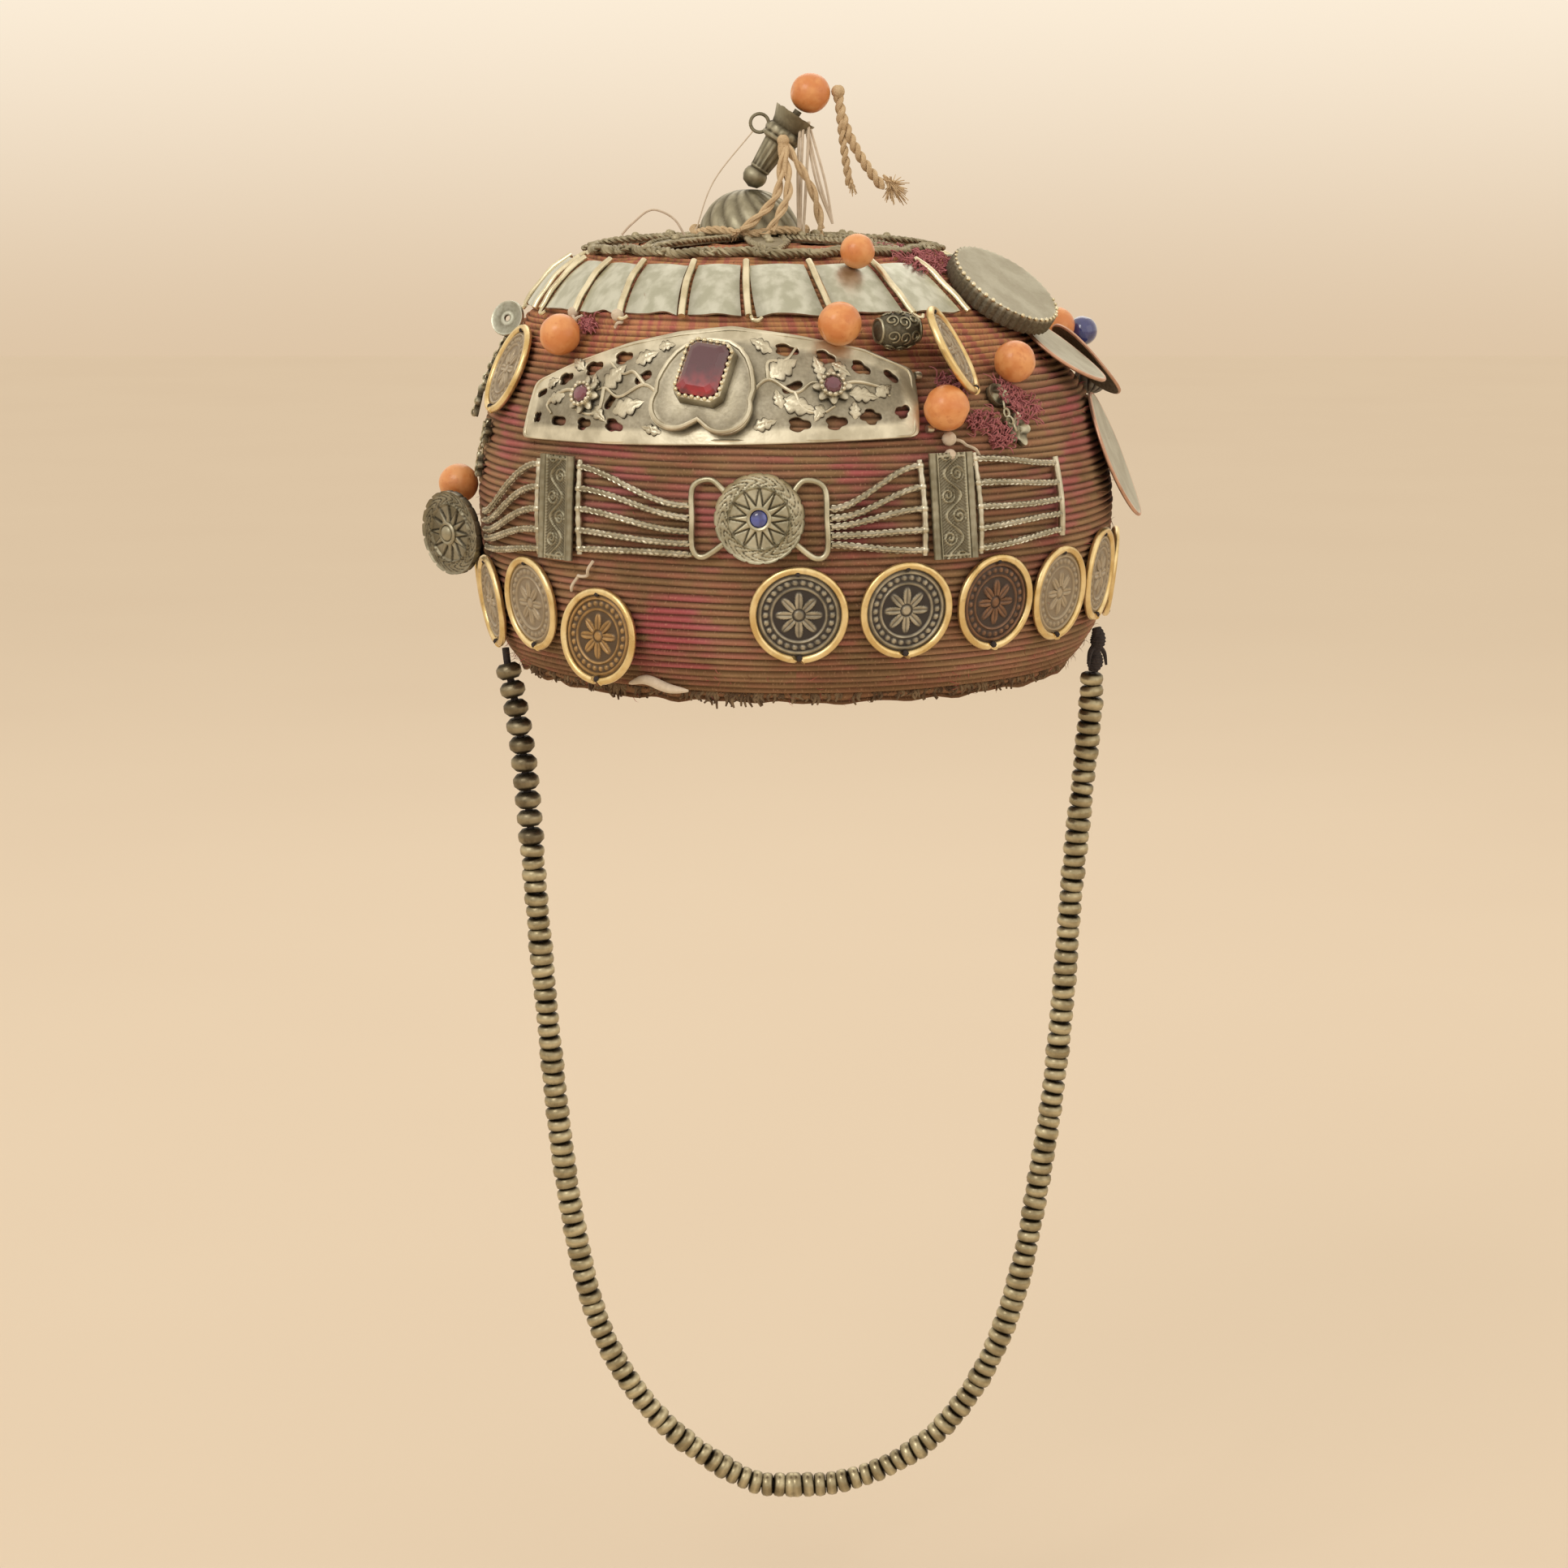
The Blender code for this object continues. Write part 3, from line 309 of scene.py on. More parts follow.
class Piece:
    """Points in millimetres, faces, a relief value for each point and a material for each face."""

    def __init__(self):
        self.points = []
        self.faces = []
        self.relief = []
        self.slots = []

    def add(self, points, faces, relief=1.0, slot=0):
        start = len(self.points)
        self.points += [tuple(float(c) for c in point) for point in points]
        self.faces += [tuple(start + corner for corner in face) for face in faces]
        self.relief += [float(value) for value in np.broadcast_to(relief, len(points))]
        self.slots += [slot] * len(faces)

    def grid(self, rows, around=False, ends=False, relief=1.0, slot=0):
        """Faces between rows of points; around joins a row's ends, ends fills the outer rows."""
        rows = np.asarray(rows, float)
        count, width = rows.shape[:2]
        faces = faces_between(count, width, around)
        if ends:
            faces.append(tuple(range(width)))
            faces.append(tuple((count - 1) * width + k for k in range(width)))
        relief = np.broadcast_to(relief, (count, width)).reshape(-1)
        self.add(rows.reshape(-1, 3), faces, relief, slot)

    def slab(self, front, back, relief=1.0, slot=0):
        """A closed sheet from its front and its back, two grids of points alike in size."""
        front, back = np.asarray(front, float), np.asarray(back, float)
        relief = np.broadcast_to(relief, front.shape[:2])
        self.grid(front, relief=relief, slot=slot)
        self.grid(back, relief=0.3, slot=slot)
        for edge in (np.s_[0, :], np.s_[-1, :], np.s_[:, 0], np.s_[:, -1]):
            self.grid([front[edge], back[edge]], relief=[relief[edge]] * 2, slot=slot)

    def tube(self, path, radius, sides=8, loop=False, relief=1.0, slot=0):
        """A round rod, wire or cord along a path."""
        path = np.asarray(path, float)
        side, other = carried(path, loop)
        turns = np.arange(sides) * tau / sides
        size = np.broadcast_to(radius, len(path))[:, None, None]
        across = np.cos(turns)[None, :, None] * side[:, None]
        across = across + np.sin(turns)[None, :, None] * other[:, None]
        rows = path[:, None] + size * across
        if loop:
            rows = np.concatenate([rows, rows[:1]])
        self.grid(rows, around=True, ends=not loop, relief=relief, slot=slot)

    def turned(self, profile, sides, seat, relief=None, slot=0):
        """A profile of radius and height turned about the seat's Z axis."""
        turns = np.arange(sides) * tau / sides
        rows = [[(r * cos(t), r * sin(t), z) for t in turns] for r, z in profile]
        if relief is None:
            relief = 1.0
        else:
            relief = np.repeat(np.asarray(relief, float)[:, None], sides, 1)
        self.grid(placed(seat, rows), around=True, relief=relief, slot=slot)

    def stamped(self, seat, reach, angle, up, relief, tall=1.0):
        """A round relief on a flat back, from rows of reach, angle and height."""
        front = np.stack([reach * np.cos(angle), reach * np.sin(angle) * tall, up], -1)
        back = np.stack([front[-1] * (1, 1, 0), front[-1] * 0])
        relief = np.concatenate([relief, np.zeros((2, angle.shape[1]))])
        self.grid(placed(seat, np.concatenate([front, back])), around=True, relief=relief)

    def ball(self, centre, radius, sides=12, slot=0, relief=1.0):
        rows = sides // 2
        profile = [(radius * sin(pi * k / rows), -radius * cos(pi * k / rows))
                   for k in range(rows + 1)]
        seat = np.eye(4)
        seat[:3, 3] = centre
        self.turned(profile, sides, seat, [relief] * (rows + 1), slot)

    def mesh(self, name, sharp, materials=()):
        """A mesh of all that was collected, closed, with its faces outwards."""
        mesh = bpy.data.meshes.new(name)
        mesh.from_pydata([tuple(c * MM for c in point) for point in self.points], [], self.faces)
        mesh.attributes.new("relief", "FLOAT", "POINT").data.foreach_set("value", self.relief)
        mesh.polygons.foreach_set("material_index", self.slots)
        for material in materials:
            mesh.materials.append(material)
        tidy(mesh, sharp)
        return mesh

    def make(self, name, *materials, slot_name="aged_silver", sharp=38):
        return shown(name, self.mesh(name, sharp, materials))


def round_points(reach, turns, up):
    """Points at a reach and a height round the Z axis."""
    return np.stack(np.broadcast_arrays(reach * np.cos(turns), reach * np.sin(turns), up), -1)


def placed(seat, points):
    """Points of a seat's own frame, as points of the object."""
    points = np.asarray(points, float)
    return points @ seat[:3, :3].T + seat[:3, 3]


def frame_of(right, upward, outward, spot):
    """A seat from its three axes and its place."""
    seat = np.eye(4)
    seat[:3] = np.column_stack([right, upward, outward, spot])
    return seat


def tidy(mesh, sharp):
    shape = bmesh.new()
    shape.from_mesh(mesh)
    bmesh.ops.remove_doubles(shape, verts=shape.verts, dist=2e-6)
    bmesh.ops.dissolve_degenerate(shape, edges=shape.edges, dist=1e-7)
    bmesh.ops.recalc_face_normals(shape, faces=shape.faces)
    shape.to_mesh(mesh)
    shape.free()
    mesh.shade_smooth()
    mesh.set_sharp_from_angle(angle=radians(sharp))


def shown(name, mesh):
    """A piece of the cap, which rides on its one body."""
    item = in_scene(name, mesh)
    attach(item, "root")
    return item


print("collector ready")

# %% [markdown]
# Geometry Nodes lay out what repeats. One tree sets a thing along a path at an even pitch: the
# beads of the strap, the links of the chains, the small balls round a stone. A second one sets
# fibres on a surface. Both end in Realize Instances, so that an export keeps what they made, and
# each result is turned into a plain mesh at once.

# %% Geometry trees


def start_tree(name, inputs):
    """A new tree, and its inputs by name."""
    group = bpy.data.node_groups.new(name, "GeometryNodeTree")
    group.interface.new_socket("Geometry", in_out="INPUT", socket_type="NodeSocketGeometry")
    for label, kind in inputs:
        group.interface.new_socket(label, in_out="INPUT", socket_type="NodeSocket" + kind)
    group.interface.new_socket("Geometry", in_out="OUTPUT", socket_type="NodeSocketGeometry")
    tree = Tree(group)
    start = group.nodes.new("NodeGroupInput")
    return tree, {socket.name: Link(tree, socket) for socket in start.outputs if socket.name}


def end_tree(tree, geometry, finish):
    real = tree.node("GeometryNodeRealizeInstances", {}, (geometry,))
    painted = tree.node("GeometryNodeSetMaterial", {}, {"Geometry": real, "Material": finish})
    tree.node("NodeGroupOutput", {}, (painted,))


def turned_by(tree, rotation, by):
    values = {"Rotation": rotation, "Rotate By": by}
    return tree.node("FunctionNodeRotateRotation", {"rotation_space": "LOCAL"}, values)


def random_lean(tree, amount, seed):
    """A random turn about the two cross axes, up to an amount in radians."""
    values = {0: (-1.0, -1.0, 0.0), 1: (1.0, 1.0, 0.0), 8: seed}
    spin = tree.node("FunctionNodeRandomValue", {"data_type": "FLOAT_VECTOR"}, values)
    values = {"Vector": spin, "Scale": amount}
    spin = tree.node("ShaderNodeVectorMath", {"operation": "SCALE"}, values)
    return tree.node("FunctionNodeEulerToRotation", {}, (spin,))


def random_size(tree, spread, seed):
    values = {2: -1.0, 3: 1.0, 8: seed}
    return 1 + spread * tree.node("FunctionNodeRandomValue", {"data_type": "FLOAT"}, values, out=1)


def thing_of(tree, thing):
    settings = {"transform_space": "ORIGINAL"}
    return tree.node("GeometryNodeObjectInfo", settings, {"Object": thing}, out="Geometry")


def lay_things(tree, given, points, way, roll=None):
    """Sets the thing on every point, along a way, with a random lean and size."""
    facing = tree.node("FunctionNodeAlignRotationToVector", {"axis": "Z"}, {"Vector": way})
    if roll:
        facing = turned_by(tree, facing, roll)
    facing = turned_by(tree, facing, random_lean(tree, given["Lean"], given["Seed"]))
    laid = tree.node("GeometryNodeInstanceOnPoints", {}, {
        "Points": points, "Instance": thing_of(tree, given["Thing"]), "Rotation": facing,
        "Scale": random_size(tree, given["Spread"], given["Seed"])})
    end_tree(tree, laid, given["Finish"])
    return tree.tree


PATH_INPUTS = (("Pitch", "Float"), ("Turn", "Float"), ("Lean", "Float"), ("Spread", "Float"),
               ("Seed", "Int"), ("Thing", "Object"), ("Finish", "Material"))
tree, given = start_tree("things on a path", PATH_INPUTS)
curve = tree.node("GeometryNodeMeshToCurve", {}, (given["Geometry"],))
values = {"Curve": curve, "Length": given["Pitch"]}
curve = tree.node("GeometryNodeResampleCurve", {"mode": "LENGTH"}, values)
steps = tree.node("GeometryNodeInputIndex") * given["Turn"]
roll = tree.node("FunctionNodeAxisAngleToRotation", {}, {"Axis": (0.0, 0.0, 1.0), "Angle": steps})
path_tree = lay_things(tree, given, curve, tree.node("GeometryNodeInputTangent"), roll)

FIBRE_INPUTS = (("Density", "Float"), ("Lean", "Float"), ("Spread", "Float"), ("Seed", "Int"),
                ("Thing", "Object"), ("Finish", "Material"))
tree, given = start_tree("fibres on a surface", FIBRE_INPUTS)
fray = tree.node("GeometryNodeInputNamedAttribute", {"data_type": "FLOAT"}, ("fray",))
values = {"Mesh": given["Geometry"], "Density": fray * given["Density"], "Seed": given["Seed"]}
spots = tree.node("GeometryNodeDistributePointsOnFaces", {}, values)
fibre_tree = lay_things(tree, given, spots, spots.part("Normal"))


def plain_mesh(item):
    """The mesh that a curve or a modifier makes; its object is removed."""
    bpy.context.view_layer.update()
    view = item.evaluated_get(bpy.context.evaluated_depsgraph_get())
    result = bpy.data.meshes.new_from_object(view)
    bpy.data.objects.remove(item)
    return result


def run_tree(group, mesh, values):
    """The plain mesh that a tree makes from a mesh."""
    source = in_scene("source", mesh)
    grower = source.modifiers.new("grower", "NODES")
    grower.node_group = group
    for item in group.interface.items_tree:
        if item.in_out == "INPUT" and item.name in values:
            grower[item.identifier] = values[item.name]
    return plain_mesh(source)


def along(path, thing, finish, pitch, turn=0.0, lean=0.0, spread=0.0, seed=1, loop=False):
    """A thing laid along one path of points in millimetres, or along several."""
    paths = [path] if np.ndim(path[0][0]) == 0 else path
    points, edges = [], []
    for line in paths:
        start = len(points)
        points += [tuple(float(c) * MM for c in point) for point in line]
        edges += [(k, k + 1) for k in range(start, len(points) - 1)]
        if loop:
            edges.append((len(points) - 1, start))
    mesh = bpy.data.meshes.new("path")
    mesh.from_pydata(points, edges, [])
    return run_tree(path_tree, mesh, {
        "Pitch": pitch * MM, "Turn": turn, "Lean": lean, "Spread": spread, "Seed": seed,
        "Thing": thing, "Finish": finish})


def pattern_piece(piece):
    """An object that trees repeat; it is removed once they have run."""
    item = in_scene("pattern", piece.mesh("pattern", 50))
    item.hide_render = True
    return item


def join_meshes(base, *others):
    """Puts other meshes into an object's mesh, keeping each one's material."""
    shape = bmesh.new()
    shape.from_mesh(base.data)
    for mesh in others:
        names = [material.name for material in base.data.materials]
        first = len(shape.faces)
        finish = next(material for material in mesh.materials if material)
        if finish.name not in names:
            base.data.materials.append(finish)
            names.append(finish.name)
        shape.from_mesh(mesh)
        shape.faces.ensure_lookup_table()
        for face in shape.faces[first:]:
            face.material_index = names.index(finish.name)
            face.smooth = True
    shape.to_mesh(base.data)
    shape.free()


print("trees:", path_tree.name, "and", fibre_tree.name)

# %% [markdown]
# The cap's own surface is known by a short table: at each height its half width and its centre,
# which slumps to one side at the crown. A smooth curve through the table gives the skin at any
# place, so plates, chains and threads can be bent to the cap by angle, height and lift. Measuring
# the solid would do too, but it has flat facets.

# %% The skin of the cap
HEAD_TOP = 111.0
DEPTH_RATIO = 1.1
WALL = 3.5
CAP_SECTIONS = np.array((
    (0.0, 77.0, 0.0),
    (6.0, 81.5, 0.3),
    (16.0, 85.5, 0.5),
    (42.0, 88.0, 0.5),
    (57.0, 86.8, 0.0),
    (70.5, 83.5, -1.0),
    (81.0, 78.5, -2.5),
    (92.0, 71.0, -4.5),
    (102.5, 61.5, -7.0),
    (108.5, 54.0, -8.0),
    (112.0, 46.0, -8.6),
    (113.6, 36.0, -9.0),
    (114.3, 18.0, -9.0),
    (114.5, 0.0, -9.0),
))
LAST = len(CAP_SECTIONS) - 1


def smooth_table(table, ends, steps):
    """Points on a smooth curve through the rows of a table."""
    rows = np.vstack([ends[0], table, ends[1]])
    made = []
    for a, b, c, d in zip(rows, rows[1:], rows[2:], rows[3:]):
        for k in range(steps):
            t = k / steps
            bend = 2 * a - 5 * b + 4 * c - d
            made.append(0.5 * (2 * b + (c - a) * t + bend * t**2 + (3 * b - a - 3 * c + d) * t**3))
    made.append(table[-1])
    return np.array(made)


below = 2 * CAP_SECTIONS[0] - CAP_SECTIONS[1]
beyond = CAP_SECTIONS[LAST - 1] * (1, -1, 1)
SKIN = smooth_table(CAP_SECTIONS, (below, beyond), 60)
PLACES = np.linspace(0, LAST, len(SKIN))


def skin(angle, place):
    height, half, centre = (np.interp(place, PLACES, SKIN[:, k]) for k in range(3))
    turn = np.radians(angle)
    across = centre + half * np.sin(turn)
    return np.stack([across, -half * DEPTH_RATIO * np.cos(turn), height - HEAD_TOP], -1)


def off_skin(angle, place, lift):
    """A point at a lift off the skin, with the skin's way out, right and up the slope."""
    angle, place, lift = np.broadcast_arrays(np.asarray(angle, float), place, lift)
    here = skin(angle, place)
    right = unit(skin(angle + 0.1, place) - skin(angle - 0.1, place))
    upward = skin(angle, np.minimum(place + 0.02, LAST)) - skin(angle, np.maximum(place - 0.02, 0))
    outward = unit(np.cross(right, upward))
    flat = np.linalg.norm(outward, axis=-1) < 0.5
    outward[flat] = (0, 0, 1)
    return here + outward * lift[..., None], outward, right


def at_height(height):
    return np.interp(height, SKIN[:, 0], PLACES)


def at_radius(radius):
    """The place on the crown where the cap has this half width."""
    return np.interp(-np.asarray(radius, float), -SKIN[180:, 1], PLACES[180:])


def on_cap(angle, height, lift):
    return off_skin(angle, at_height(height), lift)[0]


def seat_at(angle, place, lift, roll=0.0):
    """A frame on the cap: X to the right, Y up the slope, Z outwards."""
    spot, outward, right = (row[0] for row in off_skin([angle], [place], [lift]))
    upward = np.cross(outward, right)
    ahead, aside = cos(radians(roll)), sin(radians(roll))
    return frame_of(right * ahead + upward * aside, upward * ahead - right * aside, outward, spot)


CAP_MIDDLE = np.array((-3.0, 0.0, -60.0))


def solid_points(node):
    return np.array([vert.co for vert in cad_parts[node].data.vertices]) / MM


def seat_of(node):
    """The frame of a flat round solid: its back's centre, X level and Z away from the cap."""
    points = solid_points(node)
    centre = points.mean(0)
    outward = np.linalg.svd(points - centre, full_matrices=False)[2][2]
    if outward @ (centre - CAP_MIDDLE) < 0:
        outward = -outward
    right = unit(np.cross((0, 0, 1), outward))
    spot = centre + outward * ((points - centre) @ outward).min()
    return frame_of(right, np.cross(outward, right), outward, spot)


def mm_per_degree(angle, height):
    place = at_height(height)
    return float(np.linalg.norm(skin(angle + 0.5, place) - skin(angle - 0.5, place)))


print("widest half width:", round(SKIN[:, 1].max(), 1), "mm")

# %% [markdown]
# The cap is wound from wool cord, about 1.9 mm thick, round and round from the rim to the crown.
# A bump could draw the cords, but their ridges show against the light at the sides, so they are
# real: a fine wall is made first, and a small tree pushes it in between the turns. The dye has
# faded to brown, with rose where it held and orange stripes near the crown, and it differs from
# cord to cord, because each turn came from another length.
# The grooves between the turns are also painted darker, as painted shade.

# %% Wool colours
CORD_PITCH = 1.9
# Where the dye stayed strong: angle, height, reach in millimetres
STAINS = (
    (-24.0, 14.0, 19.0),
    (-20.0, 20.0, 13.0),
    (-33.0, 60.0, 20.0),
    (24.0, 70.0, 13.0),
    (52.0, 50.0, 17.0),
    (64.0, 70.0, 20.0),
    (-62.0, 66.0, 15.0),
    (10.0, 62.0, 9.0),
    (-14.0, 47.0, 15.0),
    (12.0, 49.0, 12.0),
    (-30.0, 92.0, 15.0),
    (40.0, 112.0, 22.0),
    (130.0, 60.0, 30.0),
    (190.0, 20.0, 36.0),
    (240.0, 72.0, 30.0),
)
wool = Finish("wound_wool", Roughness=0.95, Specular_IOR_Level=0.15)
winding = wool.node("ShaderNodeUVMap", {"uv_map": "Winding"})
around_cap = wool.node("ShaderNodeSeparateXYZ", {}, (winding,))
cord_number = around_cap.part("Y") * 100
turn_of_cord = cord_number.math("FLOOR", cord_number)


def along_cords(stretch, apart, detail=2.0):
    """Cloudy values drawn out along the cords; apart steps them from one cord to the next."""
    values = {"X": around_cap * stretch, "Y": apart}
    return wool.noise(1.0, detail, wool.node("ShaderNodeCombineXYZ", {}, values))


per_cord = along_cords(46, turn_of_cord * 2.37, 3.0)
patches = wool.noise(34.0, 3.0)
strands = along_cords(900, cord_number * 2.6)
brown = wool.mix(patches.between(0.38, 0.64), rgb(128, 103, 76), rgb(160, 129, 98))
brown = wool.mix(per_cord.between(0.38, 0.72) * 0.6, brown, rgb(168, 108, 94))
streak = along_cords(30, turn_of_cord * 5.13).between(0.30, 0.70)
stain = 0
for angle, height, reach in STAINS:
    spot = skin(angle, at_height(height))
    settings = {"operation": "DISTANCE"}
    apart = wool.node("ShaderNodeVectorMath", settings, (wool.place, tuple(spot)), out="Value")
    stain = stain + (1.15 - apart / reach).clamp()
uneven = ((stain * 0.5 + streak * 1.1 - 0.72) * 2.0).clamp() * (0.4 + stain * 0.45).clamp()
rose = wool.mix(patches.between(0.4, 0.6), rgb(170, 84, 94), rgb(180, 100, 112))
dyed = wool.mix(uneven * 0.85, brown, rose)
stripes = along_cords(150, 0.0)
level = wool.node("ShaderNodeSeparateXYZ", {}, (wool.place,), out="Z")
upper = level.between(-32.0, -22.0)
striped = wool.mix(stripes.between(0.42, 0.60), rgb(212, 156, 106), rgb(192, 108, 98))
dyed = wool.mix((upper * 0.6).clamp(), dyed, striped)
foot = 1 - level.between(-111.0, -103.0)
dyed = wool.mix((foot * 0.75).clamp(), dyed, rgb(120, 88, 62))
# Painted shade: the wool is darker where the crest value is low, in the grooves between the turns.
groove = wool.attribute("relief")
dyed = wool.mix((1 - groove) * 0.78, dyed, rgb(64, 46, 32))
wool.set({"Base Color": wool.mix(strands.between(0.55, 0.8) * 0.35, dyed, rgb(206, 164, 132))})
wool.bump(strands, 0.25, 0.8)


def soft_finish(name, clouds, first, second, lumps=None, share=None, roughness=0.95, gloss=0.2):
    """Wool, cloth or thread: clouds of two colours, and lumps as size, detail and height."""
    finish = Finish(name, Roughness=roughness, Specular_IOR_Level=gloss)
    cloudy = finish.noise(*clouds)
    cloudy = cloudy.between(*share) if share else cloudy
    finish.set({"Base Color": finish.mix(cloudy, rgb(*first), rgb(*second))})
    if lumps:
        finish.bump(finish.noise(*lumps[:2]), lumps[2])
    return finish.material


felt = soft_finish("felted_rim", (3.0, 4.0), (84, 66, 52), (132, 112, 88), (0.7, 3.0, 0.5),
                   (0.35, 0.65), 1.0, 0.1)
print("stains placed:", len(STAINS))

# %% The wound wall
COLUMNS = 232
ROWS_PER_CORD = 3
steps = np.linalg.norm(np.diff(SKIN[:, :2], axis=0), axis=1)
lengths = np.concatenate([[0], np.cumsum(steps)])
cords = int(lengths[-1] / CORD_PITCH)
turns = np.arange(COLUMNS) * 360.0 / COLUMNS
rows, cord_at, depth_at = [], [], []
INNER_ROWS = 60
for k in range(INNER_ROWS):
    place = LAST * (1 - k / INNER_ROWS)
    rows.append(off_skin(turns, place, -WALL)[0])
    cord_at.append(2.0 * (INNER_ROWS - k) / 3.0)
    depth_at.append(0.25)
for k in range(1, 6):
    sweep = pi * k / 6
    dip = off_skin(turns, 0.0, -WALL / 2 * (1 + cos(sweep)))[0]
    dip[:, 2] -= 1.3 * sin(sweep)
    rows.append(dip)
    cord_at.append(0.5)
    depth_at.append(0.0)
for k in range(cords * ROWS_PER_CORD + 1):
    cord = k / ROWS_PER_CORD
    place = np.interp(lengths[-1] * cord / cords, lengths, PLACES)
    rows.append(off_skin(turns, place, 0.0)[0])
    cord_at.append(cord)
    depth_at.append(0.95)
count = len(rows)
wander = np.zeros((count, COLUMNS))
fray_at = np.zeros((count, COLUMNS))
for row in range(count):
    for k in range(COLUMNS):
        angle = radians(turns[k])
        turn_shift = int(cord_at[row]) * 0.9
        wander[row, k] = noise.noise((3 * cos(angle), 3 * sin(angle), turn_shift))
    fray_at[row] = 1.0 if cord_at[row] < 5 and depth_at[row] > 0.5 else 0.12
rows = np.array(rows)
rows[:, :, 2] += wander * 0.5 * np.minimum(1.0, np.array(depth_at)[:, None] * 2)
RAGGED_SHARES = np.array((0.2, 0.5, 0.9, 1, 1, 1, 1, 0.9, 0.5, 0.2))
rim_rows = slice(INNER_ROWS - 2, INNER_ROWS - 2 + len(RAGGED_SHARES))
for k in range(COLUMNS):
    angle = radians(turns[k])
    ragged = noise.noise((9 * cos(angle), 9 * sin(angle), 4.0)) * 1.3 - 0.5
    rows[rim_rows, k, 2] += ragged * RAGGED_SHARES
mesh = bpy.data.meshes.new("wall")
faces = faces_between(count, COLUMNS, True)
mesh.from_pydata([tuple(point * MM) for point in rows.reshape(-1, 3)], [], faces)
for label, table in (("cord", np.repeat(cord_at, COLUMNS)), ("depth", np.repeat(depth_at, COLUMNS)),
                     ("fray", fray_at.reshape(-1)), ("wander", wander.reshape(-1))):
    mesh.attributes.new(label, "FLOAT", "POINT").data.foreach_set("value", table)
layer = mesh.uv_layers.new(name="Winding")
flat = []
for row in range(count - 1):
    for k in range(COLUMNS):
        for column, line in ((k, row), (k + 1, row), (k + 1, row + 1), (k, row + 1)):
            flat += [column / COLUMNS, cord_at[line] / 100]
layer.data.foreach_set("uv", flat)

tree, given = start_tree("wound cords", (("Finish", "Material"),))


def value_of(tree, name):
    return tree.node("GeometryNodeInputNamedAttribute", {"data_type": "FLOAT"}, (name,))


cord = value_of(tree, "cord")
inside = cord.math("FRACT", cord)
crest = (inside * pi).math("SINE", inside * pi) ** 0.55
depth = value_of(tree, "depth")
push = (crest - 1) * depth + value_of(tree, "wander") * depth * 0.28
values = {"Vector": tree.node("GeometryNodeInputNormal"), "Scale": push * MM}
offset = tree.node("ShaderNodeVectorMath", {"operation": "SCALE"}, values)
moved = tree.node("GeometryNodeSetPosition", {}, {"Geometry": given["Geometry"], "Offset": offset})
# The crest is kept as relief, and the wool's colour reads it to paint shade into the grooves.
settings = {"data_type": "FLOAT"}
values = {"Geometry": moved, "Name": "relief", 3: crest}
moved = tree.node("GeometryNodeStoreNamedAttribute", settings, values)
end_tree(tree, moved, given["Finish"])
wall = run_tree(tree.tree, mesh, {"Finish": wool.material})
tidy(wall, 180)
cap = shown("cap", wall)
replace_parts(cap, "cap_shell")
print("cords:", cords, "faces:", len(wall.polygons))

# %% [markdown]
# Wool sheds. Short fibres stand off the cords everywhere, and thickly at the rim, where the wall is
# felted and ragged. Hair curves would be finer, but tapered slivers of three sides give the
# same soft edge and stay a plain mesh.

# %% Loose fibres
fluff = soft_finish("loose_wool", (14.0, 1.0), (128, 96, 74), (176, 92, 92), None,
                    (0.42, 0.58), 1.0, 0.1)


def fibre(length, width):
    """One curved sliver that stands on its foot."""
    piece = Piece()
    path = [(0, 0, 0), (length * 0.1, 0, length * 0.5), (length * 0.4, length * 0.1, length * 0.8)]
    piece.tube(path, [width, width * 0.7, width * 0.2], 3)
    return pattern_piece(piece)


sliver = fibre(2.2, 0.07)
fuzz = run_tree(fibre_tree, wall.copy(), {
    "Density": 60000.0, "Lean": 1.2, "Spread": 0.5, "Seed": 3, "Thing": sliver,
    "Finish": fluff})
bpy.data.objects.remove(sliver)
shown("wool_fuzz", fuzz)
print("fibre faces:", len(fuzz.polygons))

# %% [markdown]
# Most of the metal is an old low silver. It tarnishes dark where nothing rubs it and stays bright on
# edges and rods, so one recipe serves them all: clouds of dull metal over bright, dark in the
# recesses. Only its three colours, its polish and its spots change from plate to chain to disc.

# %% Metal finishes


def old_metal(name, bright, dull, dark, roughness=0.38, streak=(1.0, 1.0, 1.0), spotted=0.3):
    """Metal that is rubbed bright on high places and dark in the recesses."""
    metal = Finish(name, Metallic=0.92)
    bright, dull, dark = rgb(*bright), rgb(*dull), rgb(*dark)
    relief = metal.attribute("relief")
    clouds = metal.noise(7.0, 4.0, metal.scaled(metal.place, streak))
    grain = metal.noise(0.8, 2.0)
    spots = metal.noise(2.4, 3.0)
    base = metal.mix(clouds.between(0.36, 0.66), dull, bright)
    base = metal.mix(spots.between(0.58, 0.76) * spotted, base, dark)
    recess = ((1 - relief) * (0.7 + grain * 0.6)).clamp()
    metal.set({"Base Color": metal.mix(recess, base, dark)})
    metal.set({"Roughness": (roughness + recess * 0.25 + (clouds - 0.5) * 0.3).clamp()})
    metal.bump(grain + clouds * 2.0, 0.08, 0.5)
    return metal.material


